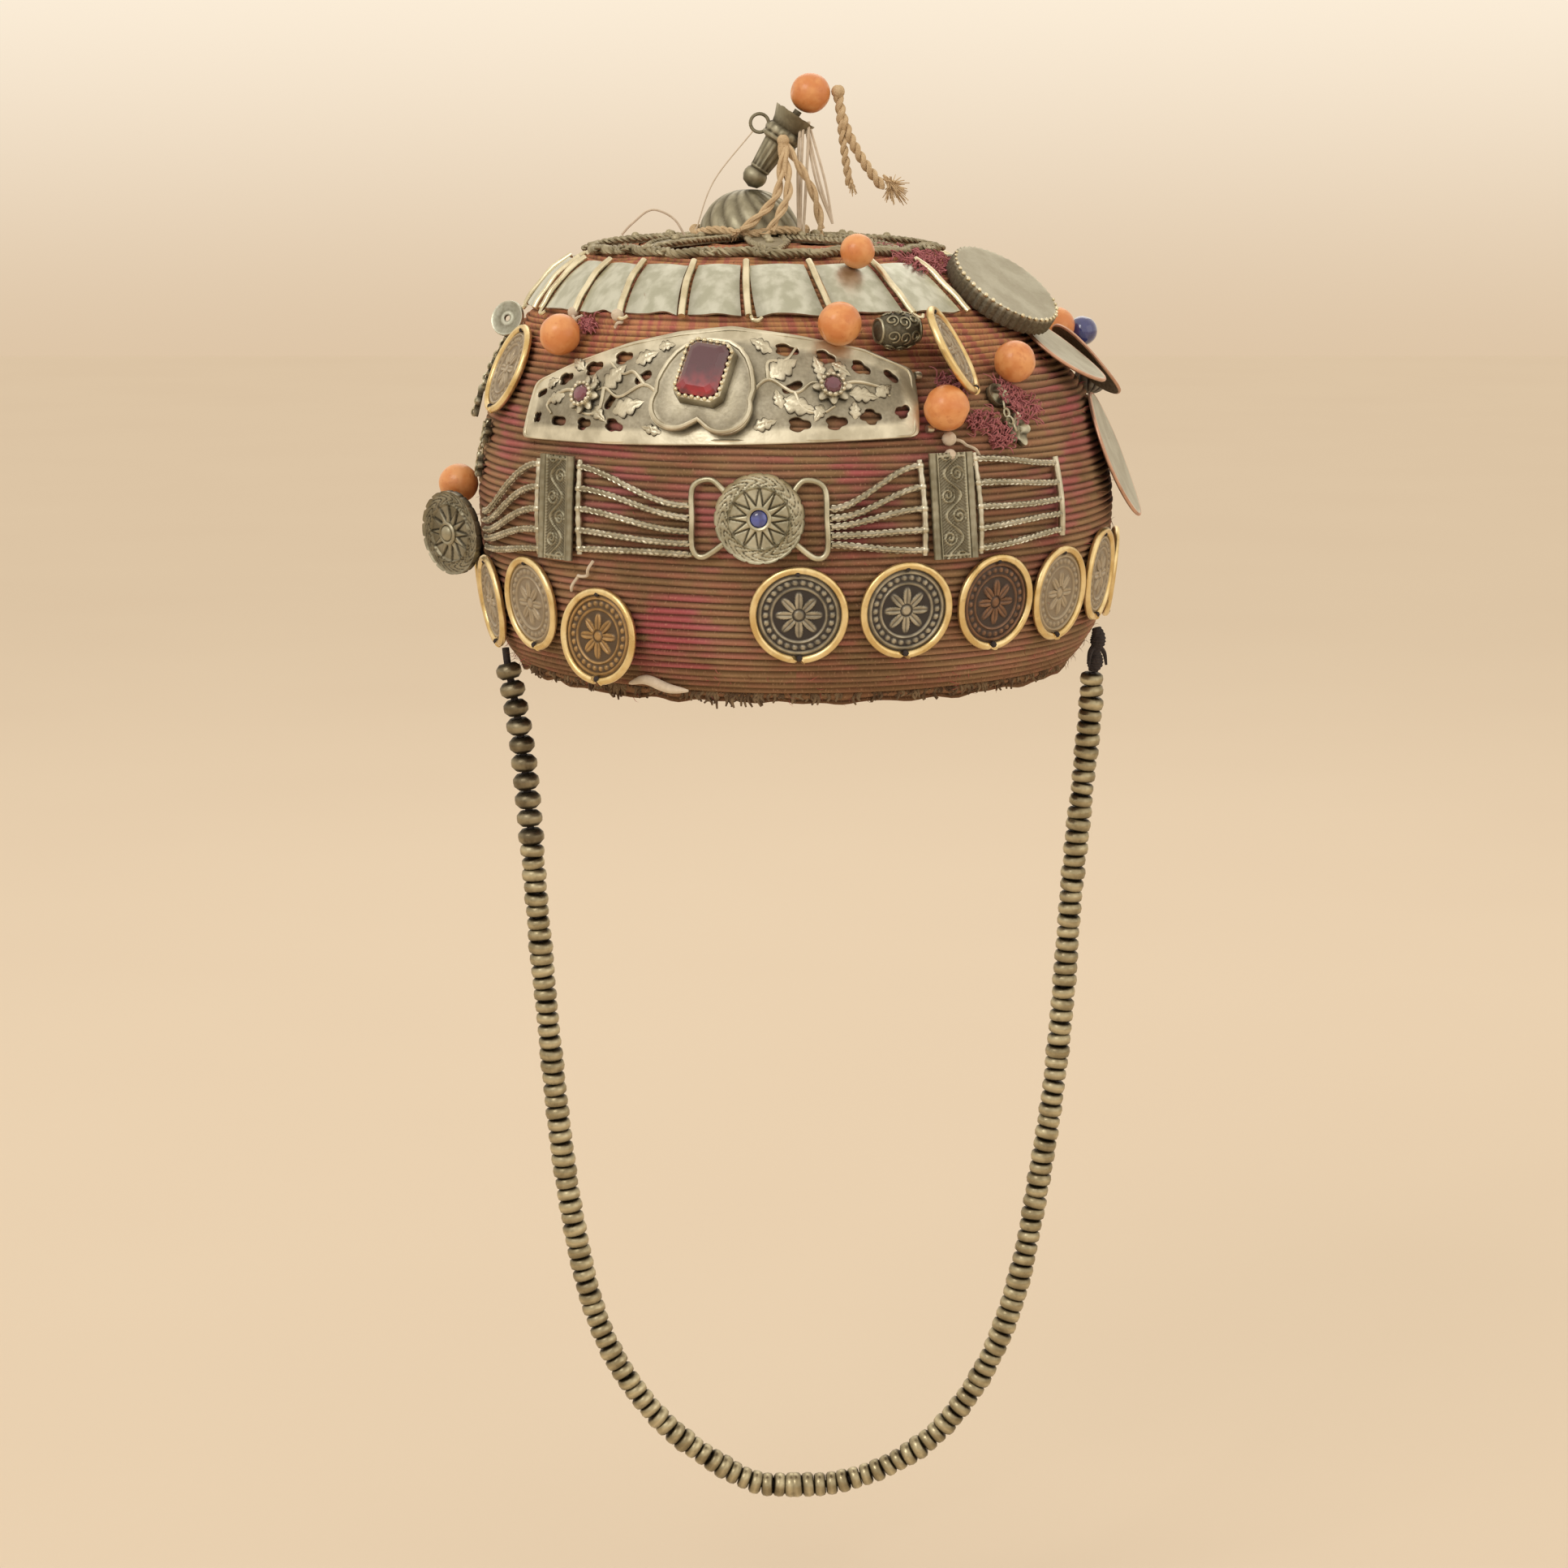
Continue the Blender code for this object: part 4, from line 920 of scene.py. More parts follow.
plate_silver = old_metal("plate_silver", (210, 212, 200), (182, 184, 168), (98, 92, 76),
                         0.36, (2.0, 2.0, 0.12), 0.04)
arch_silver = old_metal("arch_silver", (222, 216, 196), (188, 181, 160), (62, 53, 42), 0.38, spotted=0.12)
dark_silver = old_metal("dark_silver", (172, 166, 146), (130, 124, 104), (48, 42, 35), 0.42)
burst_silver = old_metal("burst_silver", (210, 206, 184), (172, 167, 144), (68, 59, 44), 0.38, spotted=0.2)
bar_silver = old_metal("bar_silver", (176, 171, 150), (142, 137, 117), (78, 70, 55), 0.44, (2.0, 2.0, 0.5))
strap_silver = old_metal("strap_silver", (192, 183, 156), (154, 145, 120), (82, 72, 54), 0.5)
chain_silver = old_metal("chain_silver", (230, 225, 206), (190, 184, 162), (66, 57, 42), 0.30, spotted=0.1)
disc_silver = old_metal("disc_silver", (206, 204, 188), (184, 180, 162), (96, 87, 70), 0.5, spotted=0.1)
gold = old_metal("gold_wire", (242, 222, 172), (214, 186, 128), (128, 96, 56), 0.32)


def coin_face(name, ground, raised, metallic):
    face = Finish(name)
    ground, raised = rgb(*ground), rgb(*raised)
    relief = face.attribute("relief")
    worn = face.noise(3.0, 3.0).between(0.30, 0.72)
    face.set({"Base Color": face.mix((relief * (0.55 + worn * 0.5)).clamp(), ground, raised)})
    face.set({"Metallic": (relief * metallic).clamp(), "Roughness": 0.34 + (1 - relief) * 0.16})
    face.bump(face.noise(0.6, 2.0), 0.05)
    return face.material


coin_black = coin_face("coin_black", (44, 38, 36), (178, 170, 150), 0.6)
coin_brown = coin_face("coin_brown", (54, 40, 34), (138, 104, 80), 0.6)
coin_ochre = coin_face("coin_ochre", (78, 60, 40), (184, 148, 98), 0.6)
coin_grey = coin_face("coin_grey", (134, 120, 100), (174, 160, 136), 0.4)


def gem(name, deep, light, low, high):
    """Glass in a closed setting, with a painted glow: its colour is lighter towards its lower side."""
    glass = Finish(name, Coat_Weight=1.0, Coat_Roughness=0.03, IOR=1.55)
    up = glass.node("ShaderNodeSeparateXYZ", {}, (glass.place,), out="Z")
    # Painted light: the colour is lighter below the low height and fades out by the high one.
    painted_glow = (1 - up.between(low, high)) * glass.noise(4.0).between(0.3, 0.6)
    colour = glass.mix(painted_glow, rgb(*deep), rgb(*light))
    glass.set({"Base Color": colour, "Roughness": 0.12 + painted_glow * 0.1})
    return glass.material


thread_white = soft_finish("pale_thread", (1.5,), (186, 170, 150), (222, 210, 194))
pink_wool = soft_finish("pink_tuft", (1.2,), (158, 90, 96), (190, 128, 132), (0.4, 2.0, 0.4),
                        None, 1.0, 0.1)
cotton = soft_finish("cotton_cord", (2.0, 3.0), (176, 148, 112), (222, 200, 166), (0.35, 2.0, 0.3))
knot_cloth = soft_finish("dark_cloth", (1.4, 3.0), (40, 38, 42), (78, 70, 68), (0.8, 3.0, 0.5))
print("finishes ready")

# %% [markdown]
# Coins in split wire rims hang round the foot of the cap. The face is a polar grid whose points are
# raised by a formula: a rosette of eight petals, thin rings and a ring of dots. A bump would look
# the same from the front, but not at the edge of the side coins. The rim is one wire bent round,
# and its two ends meet at the foot, where a thread knots it to the wool. The coins of the far side
# use the same function with a coarser grid, and one cord runs behind them.

# %% Coins in their rims
FACE_RADIUS = 10.9
RIM_RADIUS = 11.7
RIM_WIRE = 1.02
SPLIT = radians(6)
DOT_RADIUS = 8.5
DOTS = 26


def soft_step(value, width=0.3):
    return np.clip(value / width + 0.5, 0, 1)


def rosette(radius, angle):
    """Relief of the coin, from 0 on the ground to 1 on the motif."""
    petal = soft_step(2.0 + 3.9 * np.abs(np.cos(4 * angle)) - radius) * soft_step(radius - 1.7)
    petal = petal * (1 - 0.6 * np.exp(-(np.sin(4 * angle) * radius / 0.9) ** 2))
    boss = soft_step(1.2 - radius)
    rings = soft_step(0.3 - np.abs(radius - 7.1), 0.2) + soft_step(0.35 - np.abs(radius - 9.9), 0.2)
    spacing = tau / DOTS
    across = ((angle + spacing / 2) % spacing - spacing / 2) * radius
    dots = soft_step(0.62 - np.hypot(radius - DOT_RADIUS, across))
    return np.clip(petal + boss + rings + dots, 0, 1)


def polar(rings, sectors, reach):
    radius = np.repeat(np.linspace(0, reach, rings)[:, None], sectors, 1)
    angle = np.repeat(np.linspace(0, tau, sectors, endpoint=False)[None], rings, 0)
    return radius, angle


def add_coin(piece, seat, rings=36, sectors=128):
    radius, angle = polar(rings, sectors, FACE_RADIUS)
    raised = rosette(radius, angle)
    up = 0.95 + 0.45 * raised
    front = round_points(radius, angle, up)
    edge = front[-1:] * (1, 1, 0)
    back = np.concatenate([edge + (0, 0, 0.15), edge * 0 + (0, 0, 0.15)])
    rows = np.concatenate([front, back])
    relief = np.concatenate([raised, np.zeros((2, sectors))])
    piece.grid(placed(seat, rows), around=True, relief=relief, slot=1)
    turns = np.linspace(-pi / 2 + SPLIT, 1.5 * pi - SPLIT, 60)
    wire = [(RIM_RADIUS * cos(t), RIM_RADIUS * sin(t), 1.0) for t in turns]
    first_end = (wire[0][0] - 0.5, wire[0][1] - 0.5, 1.3)
    last_end = (wire[-1][0] + 0.4, wire[-1][1] + 0.5, 1.3)
    piece.tube(placed(seat, [first_end, *wire, last_end]), RIM_WIRE, 10)
    knots = (((0.2, -RIM_RADIUS + 0.5, 1.6), 0.85), ((-0.3, RIM_RADIUS - 0.8, 1.5), 0.65))
    for spot, size in knots:
        piece.ball(placed(seat, [spot])[0], size, 8, slot=2, relief=0.4)


COIN_LOOKS = {
    "coin_1": coin_grey, "coin_2": coin_grey, "coin_3": coin_ochre, "coin_4": coin_black,
    "coin_5": coin_black, "coin_6": coin_brown, "coin_7": coin_grey, "coin_8": coin_grey,
    "upper_coin_left": coin_grey, "upper_coin_right": coin_grey,
}
for node, look in COIN_LOOKS.items():
    piece = Piece()
    add_coin(piece, seat_of(node))
    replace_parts(piece.make(node + "_set", gold, look, knot_cloth, slot_name="gold_wire"), node)

FAR_COINS = 11
FAR_COIN_FIRST = 87.0
FAR_COIN_STEP = 18.4
FAR_COIN_HEIGHT = 24.0
far_angles = [FAR_COIN_FIRST + FAR_COIN_STEP * k for k in range(FAR_COINS)]
piece = Piece()
for angle in far_angles:
    add_coin(piece, seat_at(angle, at_height(FAR_COIN_HEIGHT), 0.2), 18, 72)
sewing = np.linspace(far_angles[0], far_angles[-1], 90)
piece.tube(on_cap(sewing, FAR_COIN_HEIGHT, 0.6 + 0.1 * np.sin(sewing)), 0.45, 6, slot=2)
row = piece.make("coin_row", gold, coin_grey, knot_cloth, slot_name="gold_wire")
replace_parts(row, "coin_row_far")
print("coins:", len(COIN_LOOKS), "near and", FAR_COINS, "far")

# %% [markdown]
# Silver plates stand side by side round the shoulder, each with the bright rod of the hinge that
# joined it to the next. They are thin sheets that were bent by hand, so each is a closed sheet laid
# on the cap, with a crown, a twist and a lower edge of its own. One bent strip with a groove at
# each joint would be simpler, but the dark gaps beside the rods would be lost.

# %% Plates and rods of the band
RODS = (-65.0, -50.0, -36.0, -20.0, -5.0, 13.0, 32.0, 49.0)
FAR_RODS = [91.0 + 19.9 * k for k in range(11)]
BAND_LOW = 97.2
BAND_HIGH = 109.2
ROD_RADIUS = 0.95


def add_plate(piece, first, last, seed):
    """One plate between two rods: a closed sheet with its own bend and uneven edges."""
    step = 1 / mm_per_degree((first + last) / 2, BAND_HIGH)
    left = first + 1.2 * step
    right = last - 1.5 * step
    part = np.linspace(0, 1, 17)[None, :]
    rise = np.linspace(0, 1, 11)[:, None]
    hand = np.array([noise.noise((seed * 3.7, x * 3.0, 0.5)) for x in part[0]])[None, :]
    low = BAND_LOW + 0.1 + 0.7 * hand
    heights = low + (BAND_HIGH - 0.15 - low) * rise
    angles = left + (right - left) * part + 0.5 * step * (rise - 0.5) * sin(seed * 2.1)
    crown = 0.45 * np.sin(pi * part) + 0.25 * (1 - rise) * np.sin(pi * part * 2 + seed)
    lifts = 1.15 + crown + 0.35 * part * cos(seed * 1.3) + 0 * rise
    lifts = np.clip(lifts, 1.0, 2.1)
    front = on_cap(angles, heights, lifts)
    back = on_cap(angles, heights, lifts - 0.6)
    piece.slab(front, back, relief=np.clip(0.75 + crown, 0.3, 1.0))


def add_rod(piece, angle, seed):
    """The hinge rod, a little longer than the plate, with a bent end."""
    step = 1 / mm_per_degree(angle, BAND_HIGH)
    heights = np.linspace(BAND_LOW - 0.6, BAND_HIGH + 0.3, 9)
    lean = 0.25 * step * sin(seed * 1.7) * np.linspace(-1, 1, 9)
    lifts = 1.75 + 0.15 * np.sin(heights + seed)
    piece.tube(on_cap(angle + lean, heights, lifts), ROD_RADIUS, 10, slot=1)
    if seed % 2:
        foot = [(angle - lean[0], BAND_LOW - 0.6, 1.8), (angle + 0.5 * step, BAND_LOW - 1.5, 1.8),
                (angle + 1.6 * step, BAND_LOW - 1.5, 1.6), (angle + 2.4 * step, BAND_LOW - 0.8, 1.5)]
        path = smooth_path([on_cap(*row) for row in foot], 4)
        piece.tube(path, 0.55, 8, slot=1)


def smooth_path(points, steps=8):
    """More points on a smooth curve through a few."""
    table = np.asarray(points, float)
    return smooth_table(table, (2 * table[0] - table[1], 2 * table[-1] - table[-2]), steps)


rod_silver = old_metal("rod_silver", (240, 232, 204), (210, 200, 170), (128, 114, 88), 0.30, spotted=0.1)
for number, (first, last) in enumerate(zip(RODS, RODS[1:]), 1):
    piece = Piece()
    add_plate(piece, first, last, number)
    add_rod(piece, first, number)
    if number == len(RODS) - 1:
        add_rod(piece, last, number + 1)
    plate = piece.make("plate_%d" % number, plate_silver, rod_silver)
    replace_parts(plate, "band_plate_%d" % number)
piece = Piece()
for number, (first, last) in enumerate(zip(FAR_RODS, FAR_RODS[1:])):
    add_plate(piece, first, last, number + 20)
for number, angle in enumerate(FAR_RODS):
    add_rod(piece, angle, number)
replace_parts(piece.make("far_plates", plate_silver, rod_silver), "band_far")
print("plates:", len(RODS) - 1, "near and", len(FAR_RODS) - 1, "far")

# %% [markdown]
# The arched plate was cast and then pierced between its leaves. Its outline and openings are drawn
# flat as a curve, because a 2D curve with several outlines fills itself, cuts the openings through
# and rounds every edge with its bevel. The sheet is then cut into small cells and bent to the cap,
# and its field is darker than the rubbed border. Leaves and stems are raised on it as their own
# closed forms, and each leaf has a midrib.

# %% The pierced arch plate
ARCH_OUTLINE = (
    (-55.0, 64.9),
    (-33.0, 65.2),
    (-11.0, 66.0),
    (6.0, 66.8),
    (22.0, 67.6),
    (25.0, 83.4),
    (17.0, 88.6),
    (4.0, 92.2),
    (-9.0, 94.4),
    (-20.0, 93.0),
    (-31.0, 90.0),
    (-43.0, 85.0),
    (-54.0, 79.0),
)
# Openings: angle, height, length, width, turn, number of lobes
ARCH_HOLES = (
    (-51.0, 76.4, 3.8, 2.2, 25.0, 2),
    (-51.0, 70.4, 3.4, 2.8, 45.0, 4),
    (-45.2, 80.4, 5.2, 3.2, 20.0, 3),
    (-45.0, 70.0, 5.0, 3.2, 0.0, 2),
    (-38.6, 83.4, 6.0, 3.6, 20.0, 3),
    (-38.8, 69.8, 4.4, 3.4, 10.0, 3),
    (-33.4, 75.6, 4.6, 2.6, 60.0, 2),
    (-32.0, 86.2, 5.6, 3.4, 14.0, 3),
    (-32.2, 69.8, 5.4, 3.4, -15.0, 3),
    (-27.0, 81.6, 5.0, 3.0, 35.0, 2),
    (1.2, 88.6, 6.4, 3.2, -8.0, 3),
    (1.4, 71.0, 5.4, 3.8, 0.0, 3),
    (1.2, 79.8, 5.4, 2.6, 25.0, 2),
    (8.4, 86.8, 5.2, 3.6, -15.0, 3),
    (7.8, 71.4, 5.4, 3.6, 10.0, 3),
    (14.6, 84.2, 5.0, 3.6, -28.0, 3),
    (14.0, 72.6, 5.2, 4.0, 0.0, 4),
    (20.0, 82.0, 3.8, 2.6, -50.0, 2),
    (20.0, 73.6, 4.4, 3.0, 35.0, 3),
)
# Cast leaves: angle, height, length, width, turn
ARCH_LEAVES = (
    (-33.0, 81.4, 8.6, 4.6, 50.0),
    (-29.4, 74.4, 9.0, 4.6, 20.0),
    (-35.6, 72.4, 6.0, 3.2, -40.0),
    (-26.6, 86.4, 7.0, 3.4, 25.0),
    (-46.6, 75.4, 6.4, 3.2, 200.0),
    (-42.4, 84.0, 5.2, 2.6, 150.0),
    (-24.6, 69.2, 5.4, 2.6, 165.0),
    (0.0, 84.2, 9.0, 4.8, 30.0),
    (1.8, 75.2, 9.0, 4.6, -20.0),
    (-3.6, 89.6, 6.4, 3.2, 150.0),
    (-4.4, 71.0, 6.0, 3.0, 20.0),
    (13.6, 77.6, 7.2, 3.8, -12.0),
    (6.6, 84.6, 5.4, 3.0, 100.0),
    (5.0, 73.6, 5.0, 2.6, 240.0),
    (17.6, 78.6, 5.6, 2.8, 30.0),
    (-37.4, 79.4, 5.6, 3.2, 100.0),
    (-48.2, 79.0, 4.4, 2.4, 30.0),
    (-22.6, 89.2, 5.0, 2.4, 10.0),
    (-8.0, 87.0, 5.4, 2.8, 60.0),
    (-1.6, 77.0, 5.0, 2.6, 100.0),
    (10.8, 83.8, 5.2, 2.8, -40.0),
    (11.4, 74.2, 4.6, 2.6, 80.0),
)
# Stems: points of angle and height
ARCH_STEMS = (
    ((-22.0, 76.2), (-26.4, 79.8), (-31.4, 76.6), (-35.0, 78.6), (-39.0, 76.4)),
    ((-26.4, 79.8), (-29.0, 82.8), (-31.4, 82.2), (-34.6, 84.8)),
    ((-35.0, 78.6), (-35.4, 73.6), (-37.6, 72.2), (-41.0, 73.2)),
    ((-39.0, 76.4), (-44.0, 77.6), (-48.4, 74.0), (-47.0, 71.6)),
    ((-7.0, 77.6), (-3.0, 81.6), (1.4, 78.4), (5.0, 80.8), (8.2, 79.4)),
    ((-3.0, 81.6), (-2.6, 85.6), (0.6, 86.0), (3.2, 89.0)),
    ((1.4, 78.4), (2.4, 74.8), (5.4, 73.6), (8.0, 75.2)),
    ((8.2, 79.4), (12.6, 80.8), (17.0, 79.4), (18.4, 77.2)),
)
PLAN_MM = 1.47            # one degree of the plan in millimetres
SLOPE = 0.85              # rise in height for a millimetre up the slope
ARCH_LIFT = 0.7
ARCH_THICK = 1.2


def plan(angle, height):
    return np.stack([np.asarray(angle, float) * PLAN_MM, np.asarray(height, float) / SLOPE], -1)


def from_plan(points, lift):
    points = np.asarray(points, float)
    return on_cap(points[..., 0] / PLAN_MM, points[..., 1] * SLOPE, lift)


def lobed(length, width, turn, lobes, count=28):
    """An opening with pinched lobes, as a piercing saw leaves it."""
    points = []
    for k in range(count):
        bearing = tau * k / count
        reach = 1 + 0.16 * cos(lobes * bearing) - 0.06 * cos(2 * lobes * bearing)
        x, y = length / 2 * reach * cos(bearing), width / 2 * reach * sin(bearing)
        spin = radians(turn)
        points.append((x * cos(spin) - y * sin(spin),
                       x * sin(spin) + y * cos(spin)))
    return np.array(points)


def rounded(outline, reach=1.6, steps=5):
    """An outline whose corners are turned with a small arc."""
    made = []
    for before, corner, after in zip(np.roll(outline, 1, 0), outline, np.roll(outline, -1, 0)):
        first = corner + unit(before - corner) * reach
        last = corner + unit(after - corner) * reach
        for t in np.linspace(0, 1, steps):
            made.append((1 - t) ** 2 * first + 2 * t * (1 - t) * corner + t**2 * last)
    return np.array(made)


def flat_sheet(outlines, thick, edge, cell):
    """A flat sheet with rounded edges: the first outline is its edge, the others are cut out."""
    curve = bpy.data.curves.new("sheet", "CURVE")
    curve.dimensions = "2D"
    curve.fill_mode = "BOTH"
    curve.extrude = thick / 2 - edge
    curve.bevel_depth = edge
    curve.bevel_resolution = 2
    curve.offset = -edge
    for outline in outlines:
        line = curve.splines.new("POLY")
        line.points.add(len(outline) - 1)
        line.use_cyclic_u = True
        for knot, (x, y) in zip(line.points, outline):
            knot.co = (x, y, 0, 1)
    shape = bmesh.new()
    shape.from_mesh(plain_mesh(in_scene("sheet", curve)))
    low, high = np.min(outlines[0], 0), np.max(outlines[0], 0)
    for axis in (0, 1):
        normal = (1 - axis, axis, 0)
        for at in np.arange(low[axis] + cell, high[axis], cell):
            bmesh.ops.bisect_plane(shape, geom=shape.verts[:] + shape.edges[:] + shape.faces[:],
                                   plane_co=(at, at, 0), plane_no=normal, dist=1e-4)
    points = np.array([vert.co for vert in shape.verts])
    faces = [[vert.index for vert in face.verts] for face in shape.faces]
    shape.free()
    return points, faces


def add_leaf(piece, angle, height, length, width, turn, lift):
    """A lobed leaf with a midrib and side veins, raised on the plate."""
    part = np.linspace(0, 1, 22)[:, None]
    side = np.linspace(-1, 1, 11)[None, :]
    lobes = 0.62 + 0.38 * np.abs(np.cos(3.5 * pi * part))
    half = width * 0.66 * np.sin(pi * part**0.75) * lobes + 0.05
    x = (part - 0.5) * length * 1.1 + 0 * side
    y = half * side
    fold = 0.30 * (1 - side**2) - 0.22 * np.exp(-(side / 0.16) ** 2)
    veins = 0.10 * np.cos(7 * tau * (part - 0.25 * np.abs(side)))
    up = np.sin(pi * part) * (0.42 + fold) + veins * np.sin(pi * part) + 0.05
    spin = radians(turn)
    across = x * cos(spin) - y * sin(spin)
    along_slope = x * sin(spin) + y * cos(spin)
    spots = np.stack([across, along_slope], -1) + plan(angle, height)
    relief = np.clip(1.0 - 1.1 * np.abs(side) ** 6 - 2.0 * np.maximum(-veins, 0), 0, 1)
    piece.slab(from_plan(spots, lift + up), from_plan(spots, lift - 0.3 + 0 * up), relief)


def apart_from_edge(points, line):
    """How far each point is from a closed line."""
    starts, steps = line, np.roll(line, -1, 0) - line
    along_step = ((points[:, None] - starts) * steps).sum(-1) / (steps**2).sum(-1)
    nearest = starts + np.clip(along_step, 0, 1)[..., None] * steps
    return np.linalg.norm(points[:, None] - nearest, axis=-1).min(1)


outline = rounded(plan(*np.array(ARCH_OUTLINE).T), 2.2)
holes = [plan(angle, height) + lobed(length, width, turn, lobes)
         for angle, height, length, width, turn, lobes in ARCH_HOLES]
points, faces = flat_sheet([outline, *holes], ARCH_THICK, 0.28, 2.4)
piece = Piece()
lifts = ARCH_LIFT + ARCH_THICK / 2 + points[:, 2]
shade = np.clip((points[:, 2] + ARCH_THICK / 2) / ARCH_THICK * 1.5 - 0.25, 0.1, 1)
shade *= 1 - 0.5 * soft_step(apart_from_edge(points[:, :2], outline) - 4.2, 1.2)
piece.add(from_plan(points[:, :2], lifts), faces, shade)
top = ARCH_LIFT + ARCH_THICK
inset = outline + unit(outline.mean(0) - outline) * 1.3
piece.tube(from_plan(inset, top - 0.05), 0.34, 6, loop=True)
for leaf in ARCH_LEAVES:
    add_leaf(piece, *leaf, top - 0.05)
for stem in ARCH_STEMS:
    route = smooth_path([plan(*spot) for spot in stem], 6)
    piece.tube(from_plan(route, top + 0.1), np.linspace(0.62, 0.34, len(route)), 8)
HINGE_TABS = ((25.6, 82.2), (25.2, 74.6), (24.4, 69.4))
for angle, height in HINGE_TABS:
    path = [on_cap(angle + k, height, 1.3) for k in (-0.6, 0.0, 0.6)]
    piece.tube(path, [1.0, 1.1, 0.9], 10)
arch = piece.make("pierced_arch", arch_silver)
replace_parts(arch, "arch_plate")
print("openings:", len(holes), "leaves:", len(ARCH_LEAVES))

# %% [markdown]
# An upside down heart sits in the middle of the arch and carries a red stone in a box setting. The
# heart's field is dished inside a rounded lip. Small balls of solder hold the stone, and the path
# tree lays them round the box. The stone has a table and two steps of facets.

# %% Heart, setting and red stone
heart_seat = seat_at(-14.4, at_height(79.2), ARCH_LIFT + ARCH_THICK + 0.35, -4.0)


def heart_outline():
    """The heart point up: two lobes below, and a blunt top behind the stone."""
    right = [(0.0, -9.6)]
    for k in range(17):
        turn = radians(-120 + 144 * k / 16)
        right.append((6.7 + 7.0 * cos(turn), -5.8 + 7.0 * sin(turn)))
    right += [(13.4, 0.2), (12.7, 3.0), (11.6, 6.0), (9.9, 9.0), (7.4, 11.6), (4.0, 13.4)]
    left = [(-x, y) for x, y in reversed(right[1:])]
    return np.array(right + [(0.0, 13.6)] + left)


HALF_WIDE = 5.5
HALF_TALL = 7.4
CUT = 1.7


def eight_sided(grow, cut):
    wide, tall = HALF_WIDE + grow, HALF_TALL + grow
    quarter = [(wide, tall - cut), (wide - cut, tall)]
    points = quarter + [(-x, y) for x, y in reversed(quarter)]
    return np.array(points + [(-x, -y) for x, y in points])


def stacked(seat, levels):
    """Rows of points from pairs of an outline and a height."""
    rows = [np.column_stack([outline, np.full(len(outline), up)]) for outline, up in levels]
    return placed(seat, rows)


def solder_ball(radius, sides):
    piece = Piece()
    piece.ball((0, 0, 0), radius, sides)
    return pattern_piece(piece)


outline = heart_outline()
levels = [(outline * 0.0, 0.9), (outline * 0.5, 0.9), (outline * 0.86, 1.1), (outline * 0.95, 1.5),
          (outline, 1.3), (outline, 0.1), (outline * 0.0, 0.1)]
piece = Piece()
relief = np.repeat([[0.75], [0.75], [0.5], [0.9], [1.0], [0.3], [0.3]], len(outline), 1)
piece.grid(stacked(heart_seat, levels), around=True, relief=relief)
lip = np.column_stack([outline * 0.955, np.full(len(outline), 1.35)])
piece.tube(placed(heart_seat, lip), 0.62, 8, loop=True)
setting = heart_seat.copy()
setting[:3, 3] = placed(heart_seat, [(-0.4, 3.2, 0.0)])[0]
spin = radians(-5)
setting = setting @ frame_of((cos(spin), sin(spin), 0),
                             (-sin(spin), cos(spin), 0), (0, 0, 1), (0, 0, 0))
# Walls of the box: growth past the stone, cut of the corner, height
BOX_WALLS = ((-1.0, CUT, 1.0), (1.3, 2.2, 1.0), (1.0, 2.1, 3.4), (0.95, 2.1, 4.1), (0.4, 1.9, 4.35),
             (0.15, 1.8, 3.9), (-1.0, CUT, 3.0))
rows = stacked(setting, [(eight_sided(grow, cut), up) for grow, cut, up in BOX_WALLS])
relief = np.repeat([[0.2], [0.3], [0.7], [1.0], [1.0], [0.3], [0.1]], 8, 1)
relief = np.concatenate([relief, relief[:1]])
piece.grid(np.concatenate([rows, rows[:1]]), around=True, relief=relief)
heart = piece.make("heart", arch_silver, sharp=30)
bead = solder_ball(0.62, 10)
prongs = placed(setting, np.column_stack([eight_sided(0.45, 1.9), np.full(8, 4.45)]))
join_meshes(heart, along(prongs, bead, rod_silver, 1.75, loop=True, spread=0.12))
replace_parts(heart, "heart_mount")

# The red stone has the painted glow, lighter towards its lower side.
red_glass = gem("red_glass", (74, 18, 40), (178, 22, 44), -34.0, -24.0)
stone = Piece()
STONE_STEPS = ((-1.6, 1.2, 3.0), (0.0, CUT, 4.2), (0.0, CUT, 4.6), (-0.8, 1.5, 5.5), (-1.9, 1.2, 6.15))
rows = stacked(setting, [(eight_sided(grow, cut), up) for grow, cut, up in STONE_STEPS])
stone.grid(rows, around=True, ends=True)
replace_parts(stone.make("red_stone_cut", red_glass, slot_name="red_glass", sharp=8), "red_stone")
print("heart and stone set")

# %% [markdown]
# Two small flowers with dark pink stones sit on the leaves at each side. Petals are one disc whose
# edge and height follow a cosine, and each stone is a low faceted button in a ring of grains.

# %% Flower settings
# The pink stones have the painted glow, lighter towards their lower side.
pink_glass = gem("pink_glass", (92, 44, 62), (168, 88, 104), -60.0, -20.0)
FLOWERS = {"flower_left": (-39.0, 76.4), "flower_right": (8.2, 79.4)}
for node, (angle, height) in FLOWERS.items():
    seat = seat_at(angle, at_height(height), ARCH_LIFT + ARCH_THICK + 0.4)
    radius, turn = polar(10, 64, 1.0)
    wave = np.cos(8 * turn)
    reach = radius * (4.35 + 0.75 * wave)
    up = 0.75 + 0.35 * radius * (1 - radius) * 4 * (0.6 + 0.4 * wave)
    piece = Piece()
    piece.stamped(seat, reach, turn, up, np.clip(0.55 + 0.5 * wave * radius, 0.1, 1))
    piece.turned(((0, 0.6), (3.1, 0.6), (3.15, 1.5), (2.6, 1.9), (2.4, 1.4), (0, 1.4)), 32, seat)
    flower = piece.make(node + "_petals", arch_silver)
    circle = round_points(2.95, np.arange(40) * tau / 40, 1.9)
    join_meshes(flower, along(placed(seat, circle), bead, arch_silver, 1.5, loop=True, spread=0.1))
    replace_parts(flower, node)
    stone = Piece()
    stone.turned(((0, 1.2), (2.3, 1.2), (2.3, 1.9), (1.7, 2.6), (0, 2.9)), 8, seat)
    stone.make(node + "_stone", pink_glass, slot_name="red_glass", sharp=8)
print("flowers:", len(FLOWERS))

